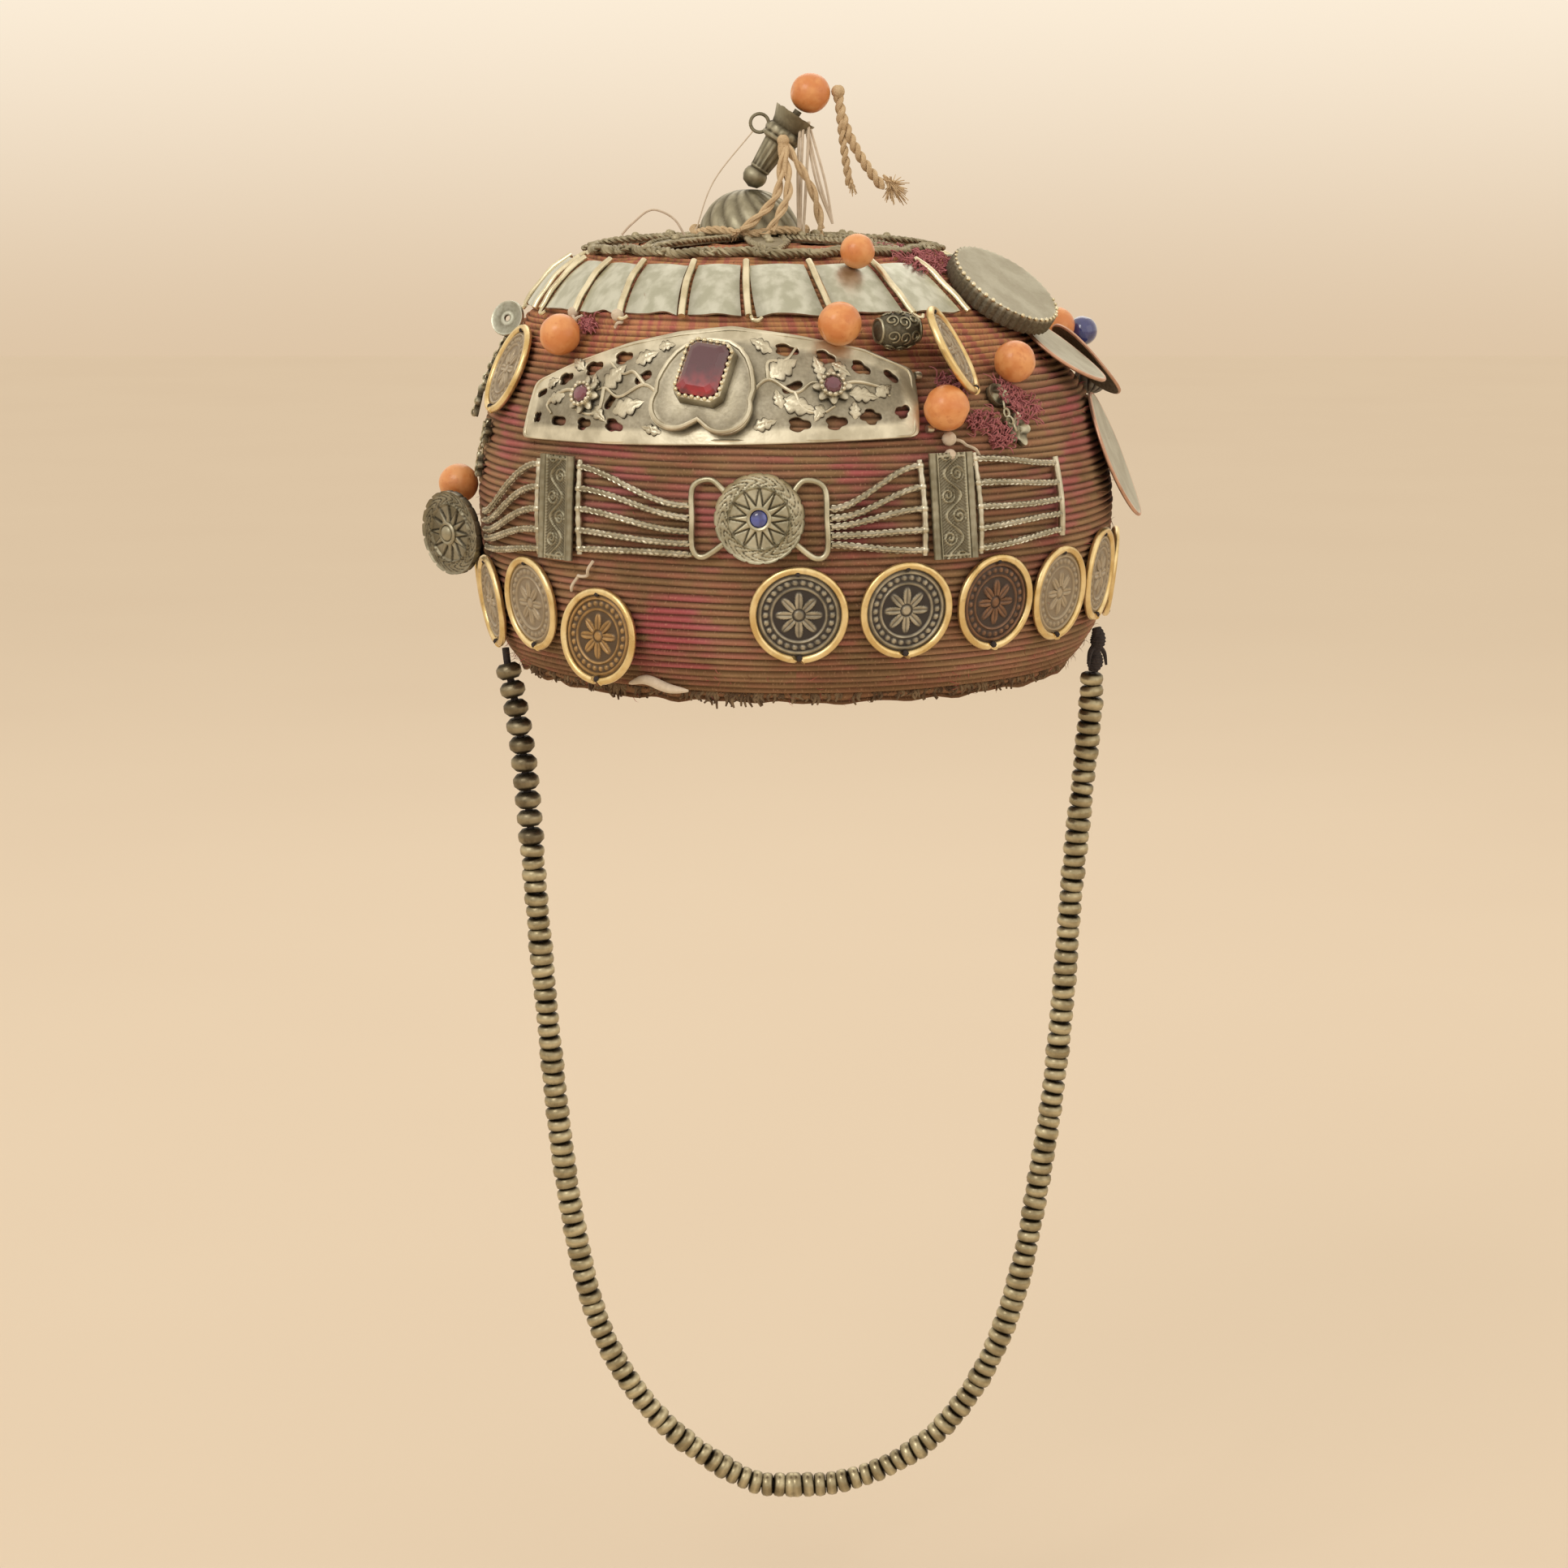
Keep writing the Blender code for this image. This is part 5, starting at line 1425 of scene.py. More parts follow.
# %% [markdown]
# The bracelet has a sunburst medallion. It was stamped, so its rays, the cuts beside them, the
# ring of engraved leaves and the notched edge are one relief worked out in polar form, with a
# smooth bezel and a round blue stone on top. The like medallion that stands off at the left side
# is made by the same function, with a boss of metal in place of the stone.

# %% Sunburst medallions
BURST_RADIUS = 11.5
RAYS = 12
SCALLOPS = 17
# The blue glass has the painted glow, lighter towards its lower side.
blue_glass = gem("blue_glass", (24, 26, 84), (88, 102, 186), -120.0, 30.0)


def add_medallion(piece, seat):
    radius, angle = polar(46, 176, 1.0)
    notches = np.maximum(0, np.cos(SCALLOPS * angle)) ** 8
    radius = radius * BURST_RADIUS * (1 - 0.03 * notches * radius**6)
    apart = np.abs((angle * RAYS / tau + 0.5) % 1 - 0.5) * tau / RAYS * radius
    half = 0.95 * (1 - (radius - 3.0) / 5.4)
    ray = soft_step(half - apart, 0.25)
    cut = np.exp(-(((apart - half) / 0.26) ** 2)) * soft_step(8.4 - radius, 0.3)
    curls = np.abs(np.sin(RAYS * angle + 2.2 * np.cos((radius - 9.4) * 2.0)))
    leaves = soft_step(0.34 - curls, 0.2) * soft_step(1.5 - np.abs(radius - 9.3), 0.3)
    rim = soft_step(radius - 11.3, 0.3) + soft_step(0.22 - np.abs(radius - 7.9), 0.2) * (1 - ray)
    relief = np.clip(0.80 + 0.2 * ray + 0.2 * rim - 0.75 * cut - 0.6 * leaves, 0, 1)
    up = 1.35 + 0.55 * (ray + rim) - 0.3 * cut - 0.25 * leaves + 0.3 * np.cos(radius / 8)
    piece.stamped(seat, radius, angle, up, relief)
    bezel = ((0, 1.2), (3.2, 1.2), (3.2, 2.7), (2.8, 3.1), (2.3, 2.9), (2.2, 2.2), (0, 2.2))
    piece.turned(bezel, 36, seat, (0.2, 0.3, 1.0, 1.0, 0.9, 0.2, 0.2))
    dome = ((0, 2.2), (2.2, 2.3), (2.1, 2.9), (1.7, 3.3), (1.0, 3.6), (0, 3.7))
    piece.turned(dome, 28, seat, slot=1)


LOOP_WIRE = 0.8
# Wire loops at both sides of the medallion: points of angle and height
LOOPS = (
    ((-11.4, 54.4), (-14.0, 57.6), (-17.0, 55.6), (-17.2, 48.0), (-17.2, 40.4), (-15.4, 38.4),
     (-11.6, 42.2)),
    ((-0.6, 54.4), (1.6, 57.6), (4.7, 55.8), (4.9, 48.0), (4.9, 40.2), (3.0, 38.4), (-0.4, 42.2)),
)
piece = Piece()
add_medallion(piece, seat_at(-6.0, at_height(48.2), 0.35))
for loop in LOOPS:
    route = smooth_path(loop, 6)
    piece.tube(on_cap(route[:, 0], route[:, 1], 1.5), LOOP_WIRE, 10)
medallion = piece.make("medallion", burst_silver, blue_glass)
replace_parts(medallion, "medallion_centre")
piece = Piece()
add_medallion(piece, seat_of("medallion_left"))
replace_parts(piece.make("side_medallion", dark_silver, bar_silver), "medallion_left")
print("rays on each medallion:", RAYS)

# %% [markdown]
# Each bar of the bracelet is a stamped plate between two worn tubes that hold the chains. The
# scroll on it is a winding stem with a curl in each bend over fine hatching, and it is worked out
# like the coins, so it stands up from the ground. A bump map would be lighter, but the bars catch
# the light from the side and would look flat.

# %% Engraved bars
BAR_HALF_WIDE = 6.3
BAR_HALF_TALL = 13.5
STEM_WAVE = 10.8
LEFT_BAR = (-44.0, 48.4)
RIGHT_BAR = (26.6, 50.4)
BARS = {"bar_left": LEFT_BAR, "bar_right": RIGHT_BAR}


def scroll_relief(x, y):
    stem = soft_step(0.36 - np.abs(x - 2.3 * np.sin(tau * y / STEM_WAVE)), 0.4)
    curls = 0 * x
    for k in range(-3, 4):
        side = 1 if k % 2 == 0 else -1
        middle = STEM_WAVE / 2 * (k + 0.5)
        apart = np.hypot(x + side * 1.5, y - middle)
        bearing = np.arctan2(y - middle, x + side * 1.5)
        spiral = (apart - 0.16 * bearing * side + 10) % 1.15 - 0.58
        curls = np.maximum(curls, soft_step(0.26 - np.abs(spiral), 0.3) * soft_step(2.1 - apart, 0.3))
    frame_line = soft_step(0.28 - np.abs(np.abs(x) - 4.1), 0.3)
    ends = soft_step(0.30 - np.abs(np.abs(y) - 12.6), 0.3) * soft_step(4.2 - np.abs(x), 0.3)
    hatching = soft_step(0.14 - np.abs((y + 0.7 * np.abs(x)) % 0.8 - 0.4), 0.2)
    hatching = hatching * soft_step(3.9 - np.abs(x), 0.2)
    return np.clip(stem + curls + frame_line + ends + 0.45 * hatching, 0, 1)


for node, (angle, height) in BARS.items():
    seat = seat_at(angle, at_height(height), 0.35)
    up = np.linspace(-BAR_HALF_TALL, BAR_HALF_TALL, 121)
    x, y = np.meshgrid(np.linspace(-5.0, 5.0, 51), up)
    raised = scroll_relief(x, y)
    front = np.stack([x, y, 1.25 + 0.45 * raised], -1)
    piece = Piece()
    piece.slab(placed(seat, front), placed(seat, front * (1, 1, 0)), 0.35 + 0.65 * raised)
    for side in (-1, 1):
        up = np.linspace(-BAR_HALF_TALL, BAR_HALF_TALL, 82)
        ribs = 1.0 + 0.04 * np.cos(tau * up / 2.7)
        path = np.stack([np.full(82, side * 5.5), up, np.full(82, 1.25)], -1)
        piece.tube(placed(seat, path), ribs, 12, relief=0.8)
    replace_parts(piece.make(node + "_engraved", bar_silver), node)
print("bars:", len(BARS))

# %% [markdown]
# Five chains run from each side of a bar. They are made of links, and the path tree lays them: each
# link is turned by a quarter from the one before, as real links must. A thin rod inside them closes
# the gaps, because the real links lie tight. A rod with a screw thread alone would be cheaper, but
# close up it reads as rope.

# %% Chains of the bracelet
CHAIN_PITCH = 0.85
# Each chain's height at the bar and at the far end
CHAIN_HEIGHTS = {
    "strands_left_inner": ((59.2, 51.0), (53.6, 48.0), (48.6, 44.6), (43.2, 41.6), (38.4, 38.8)),
    "strands_right_inner": ((60.6, 50.6), (55.4, 48.4), (50.0, 46.2), (44.8, 44.0), (39.8, 41.8)),
    "strands_left_outer": ((58.8, 43.6), (53.0, 41.2), (47.4, 38.8), (42.0, 36.4), (37.0, 34.0)),
    "strands_right_outer": ((61.6, 58.8), (55.6, 53.8), (49.8, 49.6), (44.4, 45.8), (39.4, 41.8)),
}
AWAY = BAR_HALF_WIDE + 0.35 + 1.5
LEFT_AWAY = AWAY / mm_per_degree(*LEFT_BAR)
RIGHT_AWAY = AWAY / mm_per_degree(*RIGHT_BAR)
# Chain bundles: angle at the bar, angle at the far end, and the end rod's lowest and highest point
CHAIN_ENDS = {
    "strands_left_inner": (LEFT_BAR[0] + LEFT_AWAY, -17.9, 37.0, 60.8),
    "strands_right_inner": (RIGHT_BAR[0] - RIGHT_AWAY, 5.6, 38.4, 62.0),
    "strands_left_outer": (LEFT_BAR[0] - LEFT_AWAY, -70.2, 35.6, 60.2),
    "strands_right_outer": (RIGHT_BAR[0] + RIGHT_AWAY, 51.0, 38.0, 63.0),
}
CHAIN_LIFT = 1.4
CLASP = "strands_right_outer"


def ring_of(wide, tall, wire, around=10, sides=5):
    """A closed link in its own X and Z."""
    turns = np.arange(around) * tau / around
    path = np.stack([wide * np.cos(turns), 0 * turns, tall * np.sin(turns)], -1)
    piece = Piece()
    piece.tube(path, wire, sides, loop=True, relief=0.9)
    return piece


link = pattern_piece(ring_of(0.70, 0.84, 0.34))
for node, rows in CHAIN_HEIGHTS.items():
    start, end, low, high = CHAIN_ENDS[node]
    paths = []
    piece = Piece()
    header = np.linspace(low, high, 30)
    piece.tube(on_cap(start, header, CHAIN_LIFT), 0.85 + 0.1 * np.cos(header * 2.2), 10, relief=0.8)
    for number, (first, last) in enumerate(rows):
        part = np.linspace(0, 1, 30)
        sag = 0.35 * np.sin(pi * part) * sin(number * 2.3 + start)
        angles = start + (end - start) * part
        heights = first + (last - first) * part**2 * (3 - 2 * part) + sag
        path = on_cap(angles, heights, CHAIN_LIFT)
        paths.append(path)
        piece.ball(path[0], 1.15, 10, relief=0.9)
        piece.tube(path, 0.80, 8, relief=0.5)
    if node == CLASP:
        clasp = np.linspace(rows[-1][1] - 1.5, rows[0][1] + 1.5, 12)
        piece.tube(on_cap(end, clasp, CHAIN_LIFT), 1.0, 10, relief=0.9)
    bundle = piece.make(node + "_links", chain_silver)
    links = along(paths, link, chain_silver, CHAIN_PITCH, turn=pi / 2, lean=0.35)
    join_meshes(bundle, links)
    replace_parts(bundle, node)
print("chains:", sum(len(rows) for rows in CHAIN_HEIGHTS.values()))

# %% [markdown]
# At the right shoulder lies a thick disc with a toothed edge, and thin discs overlap below it like
# scales. The teeth are a wave in the radius of the outer rows, and small balls lie along a part of
# its edge. The thin discs have a worn copper edge and are bent a little, as beaten sheet is.

# %% Toothed disc and scale discs
TEETH = 44
copper_edge = old_metal("worn_copper_edge", (212, 172, 148), (184, 146, 124), (112, 84, 70), 0.45)


def add_disc(piece, seat, reach, thick, teeth=0.0, bend=0.0, dish=0.0):
    radius, angle = polar(26, TEETH * 4, 1.0)
    swing = np.cos(TEETH * angle)
    tooth = teeth * (0.5 + 0.5 * np.sign(swing) * np.abs(swing) ** 0.4)
    raised = soft_step(radius - 0.955, 0.03)
    flat = radius * reach
    up = thick - dish * (1 - radius**2)
    up = up + 0.10 * np.sin(3 * angle + 1.0) * radius + bend * (flat * np.sin(angle) / reach) ** 2
    flat = flat - tooth * (radius > 0.97)
    front = round_points(flat, angle, up)
    round_edge = front[-1:] * (1.015, 1.015, 1) - (0, 0, thick * 0.25)
    low_edge = front[-1:] * (1.015, 1.015, 1) - (0, 0, thick * 0.8)
    back = np.stack([front[-1] - (0, 0, thick), front[0] - (0, 0, thick * 0.9)])
    rows = np.concatenate([front, round_edge, low_edge, back])
    edge_tone, back_tone = np.full((2, TEETH * 4), 0.2), np.full((2, TEETH * 4), 0.1)
    relief = np.concatenate([0.75 + 0.25 * raised, edge_tone, back_tone])
    piece.grid(placed(seat, rows), around=True, relief=relief)


TOOTHED_RADIUS = 16.0
TOOTHED_THICK = 5.0
toothed_seat = seat_of("serrated_disc")
piece = Piece()
add_disc(piece, toothed_seat, TOOTHED_RADIUS, TOOTHED_THICK, teeth=0.7, dish=0.15)
disc = piece.make("toothed_disc", disc_silver)
grain = solder_ball(0.55, 8)
sweep = np.linspace(radians(120), radians(330), 60)
GRAIN_RADIUS = TOOTHED_RADIUS - 0.3
edge_path = round_points(GRAIN_RADIUS, sweep, TOOTHED_THICK)
grains = along(placed(toothed_seat, edge_path), grain, rod_silver, 2.3, spread=0.3)
join_meshes(disc, grains)
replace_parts(disc, "serrated_disc")
# Thin discs: radius and bend
SCALES = {
    "scale_disc_upper": (14.5, 0.5), "scale_disc_middle": (13.0, 0.7),
    "scale_disc_lower": (18.0, 0.4),
}
for node, (reach, bend) in SCALES.items():
    piece = Piece()
    seat = seat_of(node)
    add_disc(piece, seat, reach - 0.3, 1.0, bend=bend, dish=0.4)
    turns = np.linspace(0, tau, 80, endpoint=False)
    up = 0.55 + bend * np.sin(turns) ** 2 + 0.1 * np.sin(3 * turns + 1.0)
    lip = round_points(reach - 0.3, turns, up)
    piece.tube(placed(seat, lip), 0.5, 8, loop=True, slot=1)
    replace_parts(piece.make(node + "_bent", disc_silver, copper_edge), node)
print("discs:", 1 + len(SCALES))

# %% [markdown]
# Coral beads are sewn on here and there, with a barrel of wire scrolls, a blue glass bead and a
# ribbed dark one. Old coral is a dull orange with darker veins and a soft polish. Each bead is
# drilled, so its poles are dimpled, and none is quite round.

# %% Beads on the wool
coral = Finish("coral", Coat_Weight=0.35, Coat_Roughness=0.18)
veins = coral.noise(1.8, 5.0)
patches = coral.noise(5.0, 3.0)
amber = coral.mix(patches.between(0.35, 0.65), rgb(206, 128, 70), rgb(222, 156, 98))
amber = coral.mix(veins.between(0.56, 0.72) * 0.4, amber, rgb(184, 102, 56))
coral.set({"Base Color": amber, "Roughness": 0.36 + patches * 0.2})
coral.bump(veins, 0.12)
CORAL_BEADS = ["coral_bead_%d" % k for k in range(1, 8)] + ["finial_bead"]


def middle_of(node):
    """The centre and the half size of a round solid, in millimetres."""
    points = solid_points(node)
    low, high = points.min(0), points.max(0)
    return (low + high) / 2, float((high - low).max() / 2)


def drilled_ball(piece, seat, radius, seed, stretch=1.0, rows=20, sides=36):
    """A bead with a dimple at each pole, a little out of round."""
    made, relief = [], []
    for k in range(rows + 1):
        polar_angle = pi * k / rows
        ring = []
        for j in range(sides):
            turn = tau * j / sides
            reach = sin(polar_angle)
            way = np.array((reach * cos(turn), reach * sin(turn), -cos(polar_angle)))
            size = radius * (1 + 0.025 * noise.noise(Vector(way * 1.3 + seed * 5.1)))
            hole = 0.12 * radius * exp(-(sin(polar_angle) / 0.16) ** 2)
            ring.append(way * (size, size, (size - hole) * stretch))
        made.append(ring)
        relief.append([0.2 if k in (0, rows) else 1.0] * sides)
    piece.grid(placed(seat, made), around=True, relief=relief)


def seat_toward(place, way):
    """A frame at a place whose Z axis points along a way."""
    outward = unit(way)
    right = unit(np.cross((0.12, 0.2, 0.97), outward))
    return frame_of(right, np.cross(outward, right), outward, place)


for number, node in enumerate(CORAL_BEADS):
    centre, radius = middle_of(node)
    lean = (1.0, 0.25 * sin(number * 2.0), 0.5 * sin(number * 1.4))
    piece = Piece()
    drilled_ball(piece, seat_toward(centre, lean), radius * 1.01, number)
    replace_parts(piece.make(node + "_drilled", coral.material, slot_name="coral"), node)
centre, radius = middle_of("blue_bead")
piece = Piece()
drilled_ball(piece, seat_toward(centre, (0.3, 0.2, 1.0)), radius, 11)
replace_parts(piece.make("blue_bead_glass", blue_glass, slot_name="blue_glass"), "blue_bead")

ribbed = Finish("ribbed_bead", Roughness=0.55)
dust = ribbed.noise(2.0, 4.0)
shade = ribbed.mix(dust.between(0.35, 0.65), rgb(70, 66, 60), rgb(128, 122, 110))
# Painted shade: the grooves between the ribs are darker, down to near black.
ribbed.set({"Base Color": ribbed.mix(ribbed.attribute("relief"), rgb(36, 32, 30), shade)})
centre, radius = middle_of("dark_bead")
piece = Piece()
RIBS = 11
spin, tilt = np.meshgrid(np.arange(88) * tau / 88, np.linspace(0, pi, 17))
ridge = np.abs(np.cos(RIBS * spin / 2)) ** 0.6
size = radius * (0.86 + 0.14 * ridge)
ball_points = round_points(size * np.sin(tilt), spin, -radius * 0.94 * np.cos(tilt))
piece.grid(placed(seat_toward(centre, (0.2, 0.3, 1.0)), ball_points), around=True, relief=ridge)
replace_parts(piece.make("ribbed_dark_bead", ribbed.material, slot_name="dark_bead"), "dark_bead")

BARREL_RADIUS = 5.0
BARREL_HALF = 6.6
BARREL_ROWS = 14
lying = frame_of((0, 1, 0), (0, 0, 1), (1, 0, 0), (0, 0, 0))
barrel = seat_at(23.4, at_height(90.6), 5.55) @ lying
piece = Piece()
tilts = [pi * k / BARREL_ROWS for k in range(BARREL_ROWS + 1)]
rows = [(BARREL_RADIUS * 0.9 * sin(t) ** 0.7, -BARREL_HALF * 0.94 * cos(t)) for t in tilts]
piece.turned(rows, 32, barrel, [0.35] * len(rows))


def on_barrel(turns, along_axis):
    size = np.clip(1 - (along_axis / (BARREL_HALF * 1.04)) ** 2, 0.01, 1)
    size = BARREL_RADIUS * 0.96 * np.sqrt(size)
    return placed(barrel, round_points(size, turns, along_axis))


for row, count in ((-3.1, 6), (0.0, 7), (3.1, 6)):
    for k in range(count):
        middle = tau * (k + 0.5 * (row != 0)) / count
        sweep = np.linspace(0, 2.7 * pi, 30)
        curl = 1.75 * (1 - 0.27 * sweep / pi)
        wire = on_barrel(middle + curl * np.cos(sweep) / 4.6, row + curl * np.sin(sweep))
        piece.tube(wire, 0.27, 5, slot=1)
for at in (-5.4, 5.4):
    turns = np.arange(28) * tau / 28
    piece.tube(on_barrel(turns, np.full(28, at)), 0.4, 6, loop=True, slot=1)
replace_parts(piece.make("scroll_barrel", dark_silver, bar_silver), "filigree_bead")
print("beads:", len(CORAL_BEADS) + 3)

# %% [markdown]
# Small charms hang at both sides on short chains: stamped drops, a flower, an oval. Each is a thin
# slab with petals in its outline and a raised middle, and the chains are larger links that the
# same tree lays.

# %% Charms and the holed coin


def add_charm(piece, seat, reach, petals, depth, tall=1.0, thick=1.5):
    """A flat charm with petals round its edge and a boss."""
    radius, angle = polar(9, 60, 1.0)
    wave = np.cos(petals * angle)
    flat = radius * (reach - depth + depth * wave)
    up = thick * (0.62 + 0.38 * np.cos(radius * pi * 1.9))
    up = up + 0.2 * wave * radius * (1 - radius) * 4
    piece.stamped(seat, flat, angle, up, np.clip(0.5 + 0.5 * wave * radius, 0.15, 1), tall)


small_link = pattern_piece(ring_of(0.75, 1.15, 0.34))


def charm_chain(name, node, route, lift, charms, finish):
    """A short chain along a route of angle and height, with charms on it.

    Each charm has its angle, height, lift, reach, petals, their depth and how tall it is.
    """
    piece = Piece()
    for angle, height, charm_lift, reach, petals, depth, tall in charms:
        add_charm(piece, seat_at(angle, at_height(height), charm_lift), reach, petals, depth, tall)
    made = piece.make(name, finish)
    path = smooth_path(route, 8)
    points = on_cap(path[:, 0], path[:, 1], np.linspace(*lift, len(path)))
    join_meshes(made, along(points, small_link, finish, 1.7, turn=pi / 2, lean=0.25))
    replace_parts(made, node)


charm_chain("drop_left", "filigree_drop_left",
            ((-86.0, 89.0), (-86.3, 81.8), (-86.6, 74.6), (-86.9, 67.4)), (1.6, 3.4),
            ((-86.0, 85.0, 0.9, 4.5, 8, 0.7, 1.0), (-86.5, 78.0, 1.3, 4.9, 10, 0.6, 1.0),
             (-87.0, 70.5, 2.1, 4.3, 6, 0.8, 1.15)), burst_silver)
charm_chain("charms_left", "charm_chain_left",
            ((-73.5, 66.5), (-75.0, 61.9), (-76.5, 57.3), (-78.0, 52.7)), (1.3, 1.3),
            ((-74.0, 64.5, 0.35, 3.5, 5, 0.7, 1.0), (-77.0, 55.0, 0.35, 3.1, 6, 0.5, 1.2)), burst_silver)
charm_chain("charms_right", "charm_chain_right",
            ((41.6, 74.0), (41.7, 71.0), (42.4, 68.5)), (1.4, 1.4),
            ((41.5, 76.5, 0.35, 3.3, 2, 0.4, 1.3), (43.0, 68.0, 0.35, 4.7, 5, 0.8, 1.0)), burst_silver)
piece = Piece()
hole_seat = seat_of("holed_coin_left")
ring_profile = ((0.9, 0.1), (4.9, 0.1), (5.0, 0.6), (4.8, 1.15), (4.3, 1.0), (2.2, 0.8), (1.5, 1.05),
                (0.9, 0.9))
piece.turned(ring_profile + ring_profile[:1], 40, hole_seat,
             (0.1, 0.3, 0.9, 1.0, 0.5, 0.3, 0.9, 0.3, 0.1))
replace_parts(piece.make("holed_coin", plate_silver), "holed_coin_left")
print("charm chains: 3")

# %% [markdown]
# The chin strap is a loop of metal disc beads on a cord. At the top of its left side are eleven
# larger ones. The string in the frame is a plain tube, so its route is written again here and the
# path tree threads every bead on it, each leaning a little on its neighbour.

# %% Chin strap
STRAP_DEPTH = -17.0
LEFT_ROUTE = (
    (-79.8, 3.9), (-79.2, -1.2), (-77.6, -10.0), (-75.4, -25.0), (-73.9, -42.0),
    (-72.3, -65.0), (-69.9, -95.5), (-66.2, -135.6), (-62.4, -163.0), (-57.4, -186.0),
    (-50.0, -204.0), (-38.0, -220.5), (-24.0, -232.0), (-11.0, -239.2), (-0.7, -240.0),
)
RIGHT_ROUTE = (
    (82.4, -3.0), (82.2, -13.0), (80.1, -37.0), (77.6, -65.0), (75.7, -95.5),
    (73.1, -123.8), (69.5, -149.0), (65.2, -173.9), (59.7, -193.3), (51.7, -210.4),
    (40.2, -225.0), (26.5, -234.4), (12.0, -239.3), (0.7, -240.0),
)
LEFT_TIE = 4.2
BIG_PITCH = 4.7
BIG_BEADS = 11
BEAD_PITCH = 3.42
strap_metal = old_metal("strap_metal", (206, 196, 164), (160, 149, 120), (62, 52, 36), 0.30)
strap_dark = old_metal("strap_dark", (168, 158, 132), (112, 102, 82), (46, 39, 29), 0.34)


def strap_path(route):
    """The route as a smooth curve of close points."""
    rise = smooth_path(route, 24)
    return np.stack([rise[:, 0], np.full(len(rise), STRAP_DEPTH), rise[:, 1] - HEAD_TOP], -1)


def distances(path):
    return np.concatenate([[0], np.cumsum(np.linalg.norm(np.diff(path, axis=0), axis=1))])


def at_marks(path, marks):
    """The points of a path at distances from its start."""
    return np.stack([np.interp(marks, distances(path), path[:, k]) for k in range(3)], -1)


def stretch_of(path, first, last=None):
    """The part of a path between two distances from its start, every half millimetre."""
    last = distances(path)[-1] if last is None else last
    return at_marks(path, np.linspace(first, last, max(3, int((last - first) / 0.5))))


def bead_pattern(profile, sides, relief):
    piece = Piece()
    piece.turned(profile, sides, np.eye(4), relief)
    return pattern_piece(piece)


disc_bead = bead_pattern(((1.0, -1.62), (2.5, -1.62), (3.15, -1.15), (3.4, 0), (3.15, 1.15), (2.5, 1.62),
                          (1.0, 1.62), (1.0, -1.62)), 16, (0.0, 0.0, 0.55, 1.0, 0.55, 0.0, 0.0, 0.0))
big_bead = bead_pattern(((1.1, -2.2), (2.3, -2.2), (2.8, -1.7), (3.5, -1.0), (3.62, 0), (3.5, 1.0),
                         (2.8, 1.7), (2.3, 2.2), (1.1, 2.2), (1.1, -2.2)), 18,
                        (0, 0.2, 0.1, 0.8, 1, 0.8, 0.1, 0.2, 0, 0))
left_path = strap_path(LEFT_ROUTE)
right_path = strap_path(RIGHT_ROUTE)
big_end = LEFT_TIE + BIG_PITCH * BIG_BEADS
piece = Piece()
piece.tube(stretch_of(left_path, 0.0, LEFT_TIE + 2.0), 1.0, 10, slot=1)
piece.tube(stretch_of(left_path, LEFT_TIE + 1.0)[::6], 1.05, 8, slot=1)
strap = piece.make("strap_left", strap_metal, knot_cloth, slot_name="strap_metal")
upper = stretch_of(left_path, LEFT_TIE + BIG_PITCH / 2, big_end - BIG_PITCH / 2)
lower = stretch_of(left_path, big_end + BEAD_PITCH / 2)
fine = {"lean": 0.13, "spread": 0.06}
join_meshes(strap, along(upper, big_bead, strap_dark, BIG_PITCH, lean=0.10, spread=0.03),
            along(lower, disc_bead, strap_metal, BEAD_PITCH, seed=4, **fine))
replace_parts(strap, "chin_strap_left")
piece = Piece()
piece.tube(stretch_of(right_path, 0.0)[::6], 1.05, 8, slot=1)
strap = piece.make("strap_right", strap_metal, knot_cloth, slot_name="strap_metal")
whole = stretch_of(right_path, BEAD_PITCH / 2)
join_meshes(strap, along(whole, disc_bead, strap_metal, BEAD_PITCH, seed=8, **fine))
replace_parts(strap, "chin_strap_right")

# The cloth knot: place across, height and half thickness
KNOT_ROUTE = ((83.5, 9.5, 1.2), (84.0, 7.4, 1.9), (83.9, 5.4, 2.1), (83.5, 3.2, 1.3), (83.4, 1.4, 2.0),
              (83.2, -0.6, 2.2), (82.7, -2.7, 1.2))
KNOT_ENDS = ((0.0, -106.0), (2.4, -108.4), (3.2, -112.0))
piece = Piece()
knots = smooth_path(KNOT_ROUTE, 8)
route = np.stack([knots[:, 0], np.full(len(knots), STRAP_DEPTH), knots[:, 1] - HEAD_TOP], -1)
piece.tube(route, knots[:, 2] * (1 + 0.08 * np.sin(np.arange(len(knots)) * 1.9)), 14, relief=0.8)
for turn in (0.3, 2.2, 4.0):
    end = [(83.4 + away * cos(turn), STRAP_DEPTH + away * sin(turn), up)
           for away, up in KNOT_ENDS]
    piece.tube(smooth_path(end, 5), np.linspace(0.9, 0.35, 11), 6)
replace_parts(piece.make("cloth_knot", knot_cloth, slot_name="dark_cloth"), "strap_knot_right")
print("strap length:", round(len(lower) / 2 + big_end + len(whole) / 2), "mm")

# %% [markdown]
# The finial leans on the crown: a fluted dome, a stem with a collar and a flared cup, and a coral
# bead with a tassel. The flutes curve round the dome, so their angle grows with height. The cords
# are two plies laid round each other, because a smooth tube looks like wire, and a cord of three
# plies gathers round the foot of the dome.

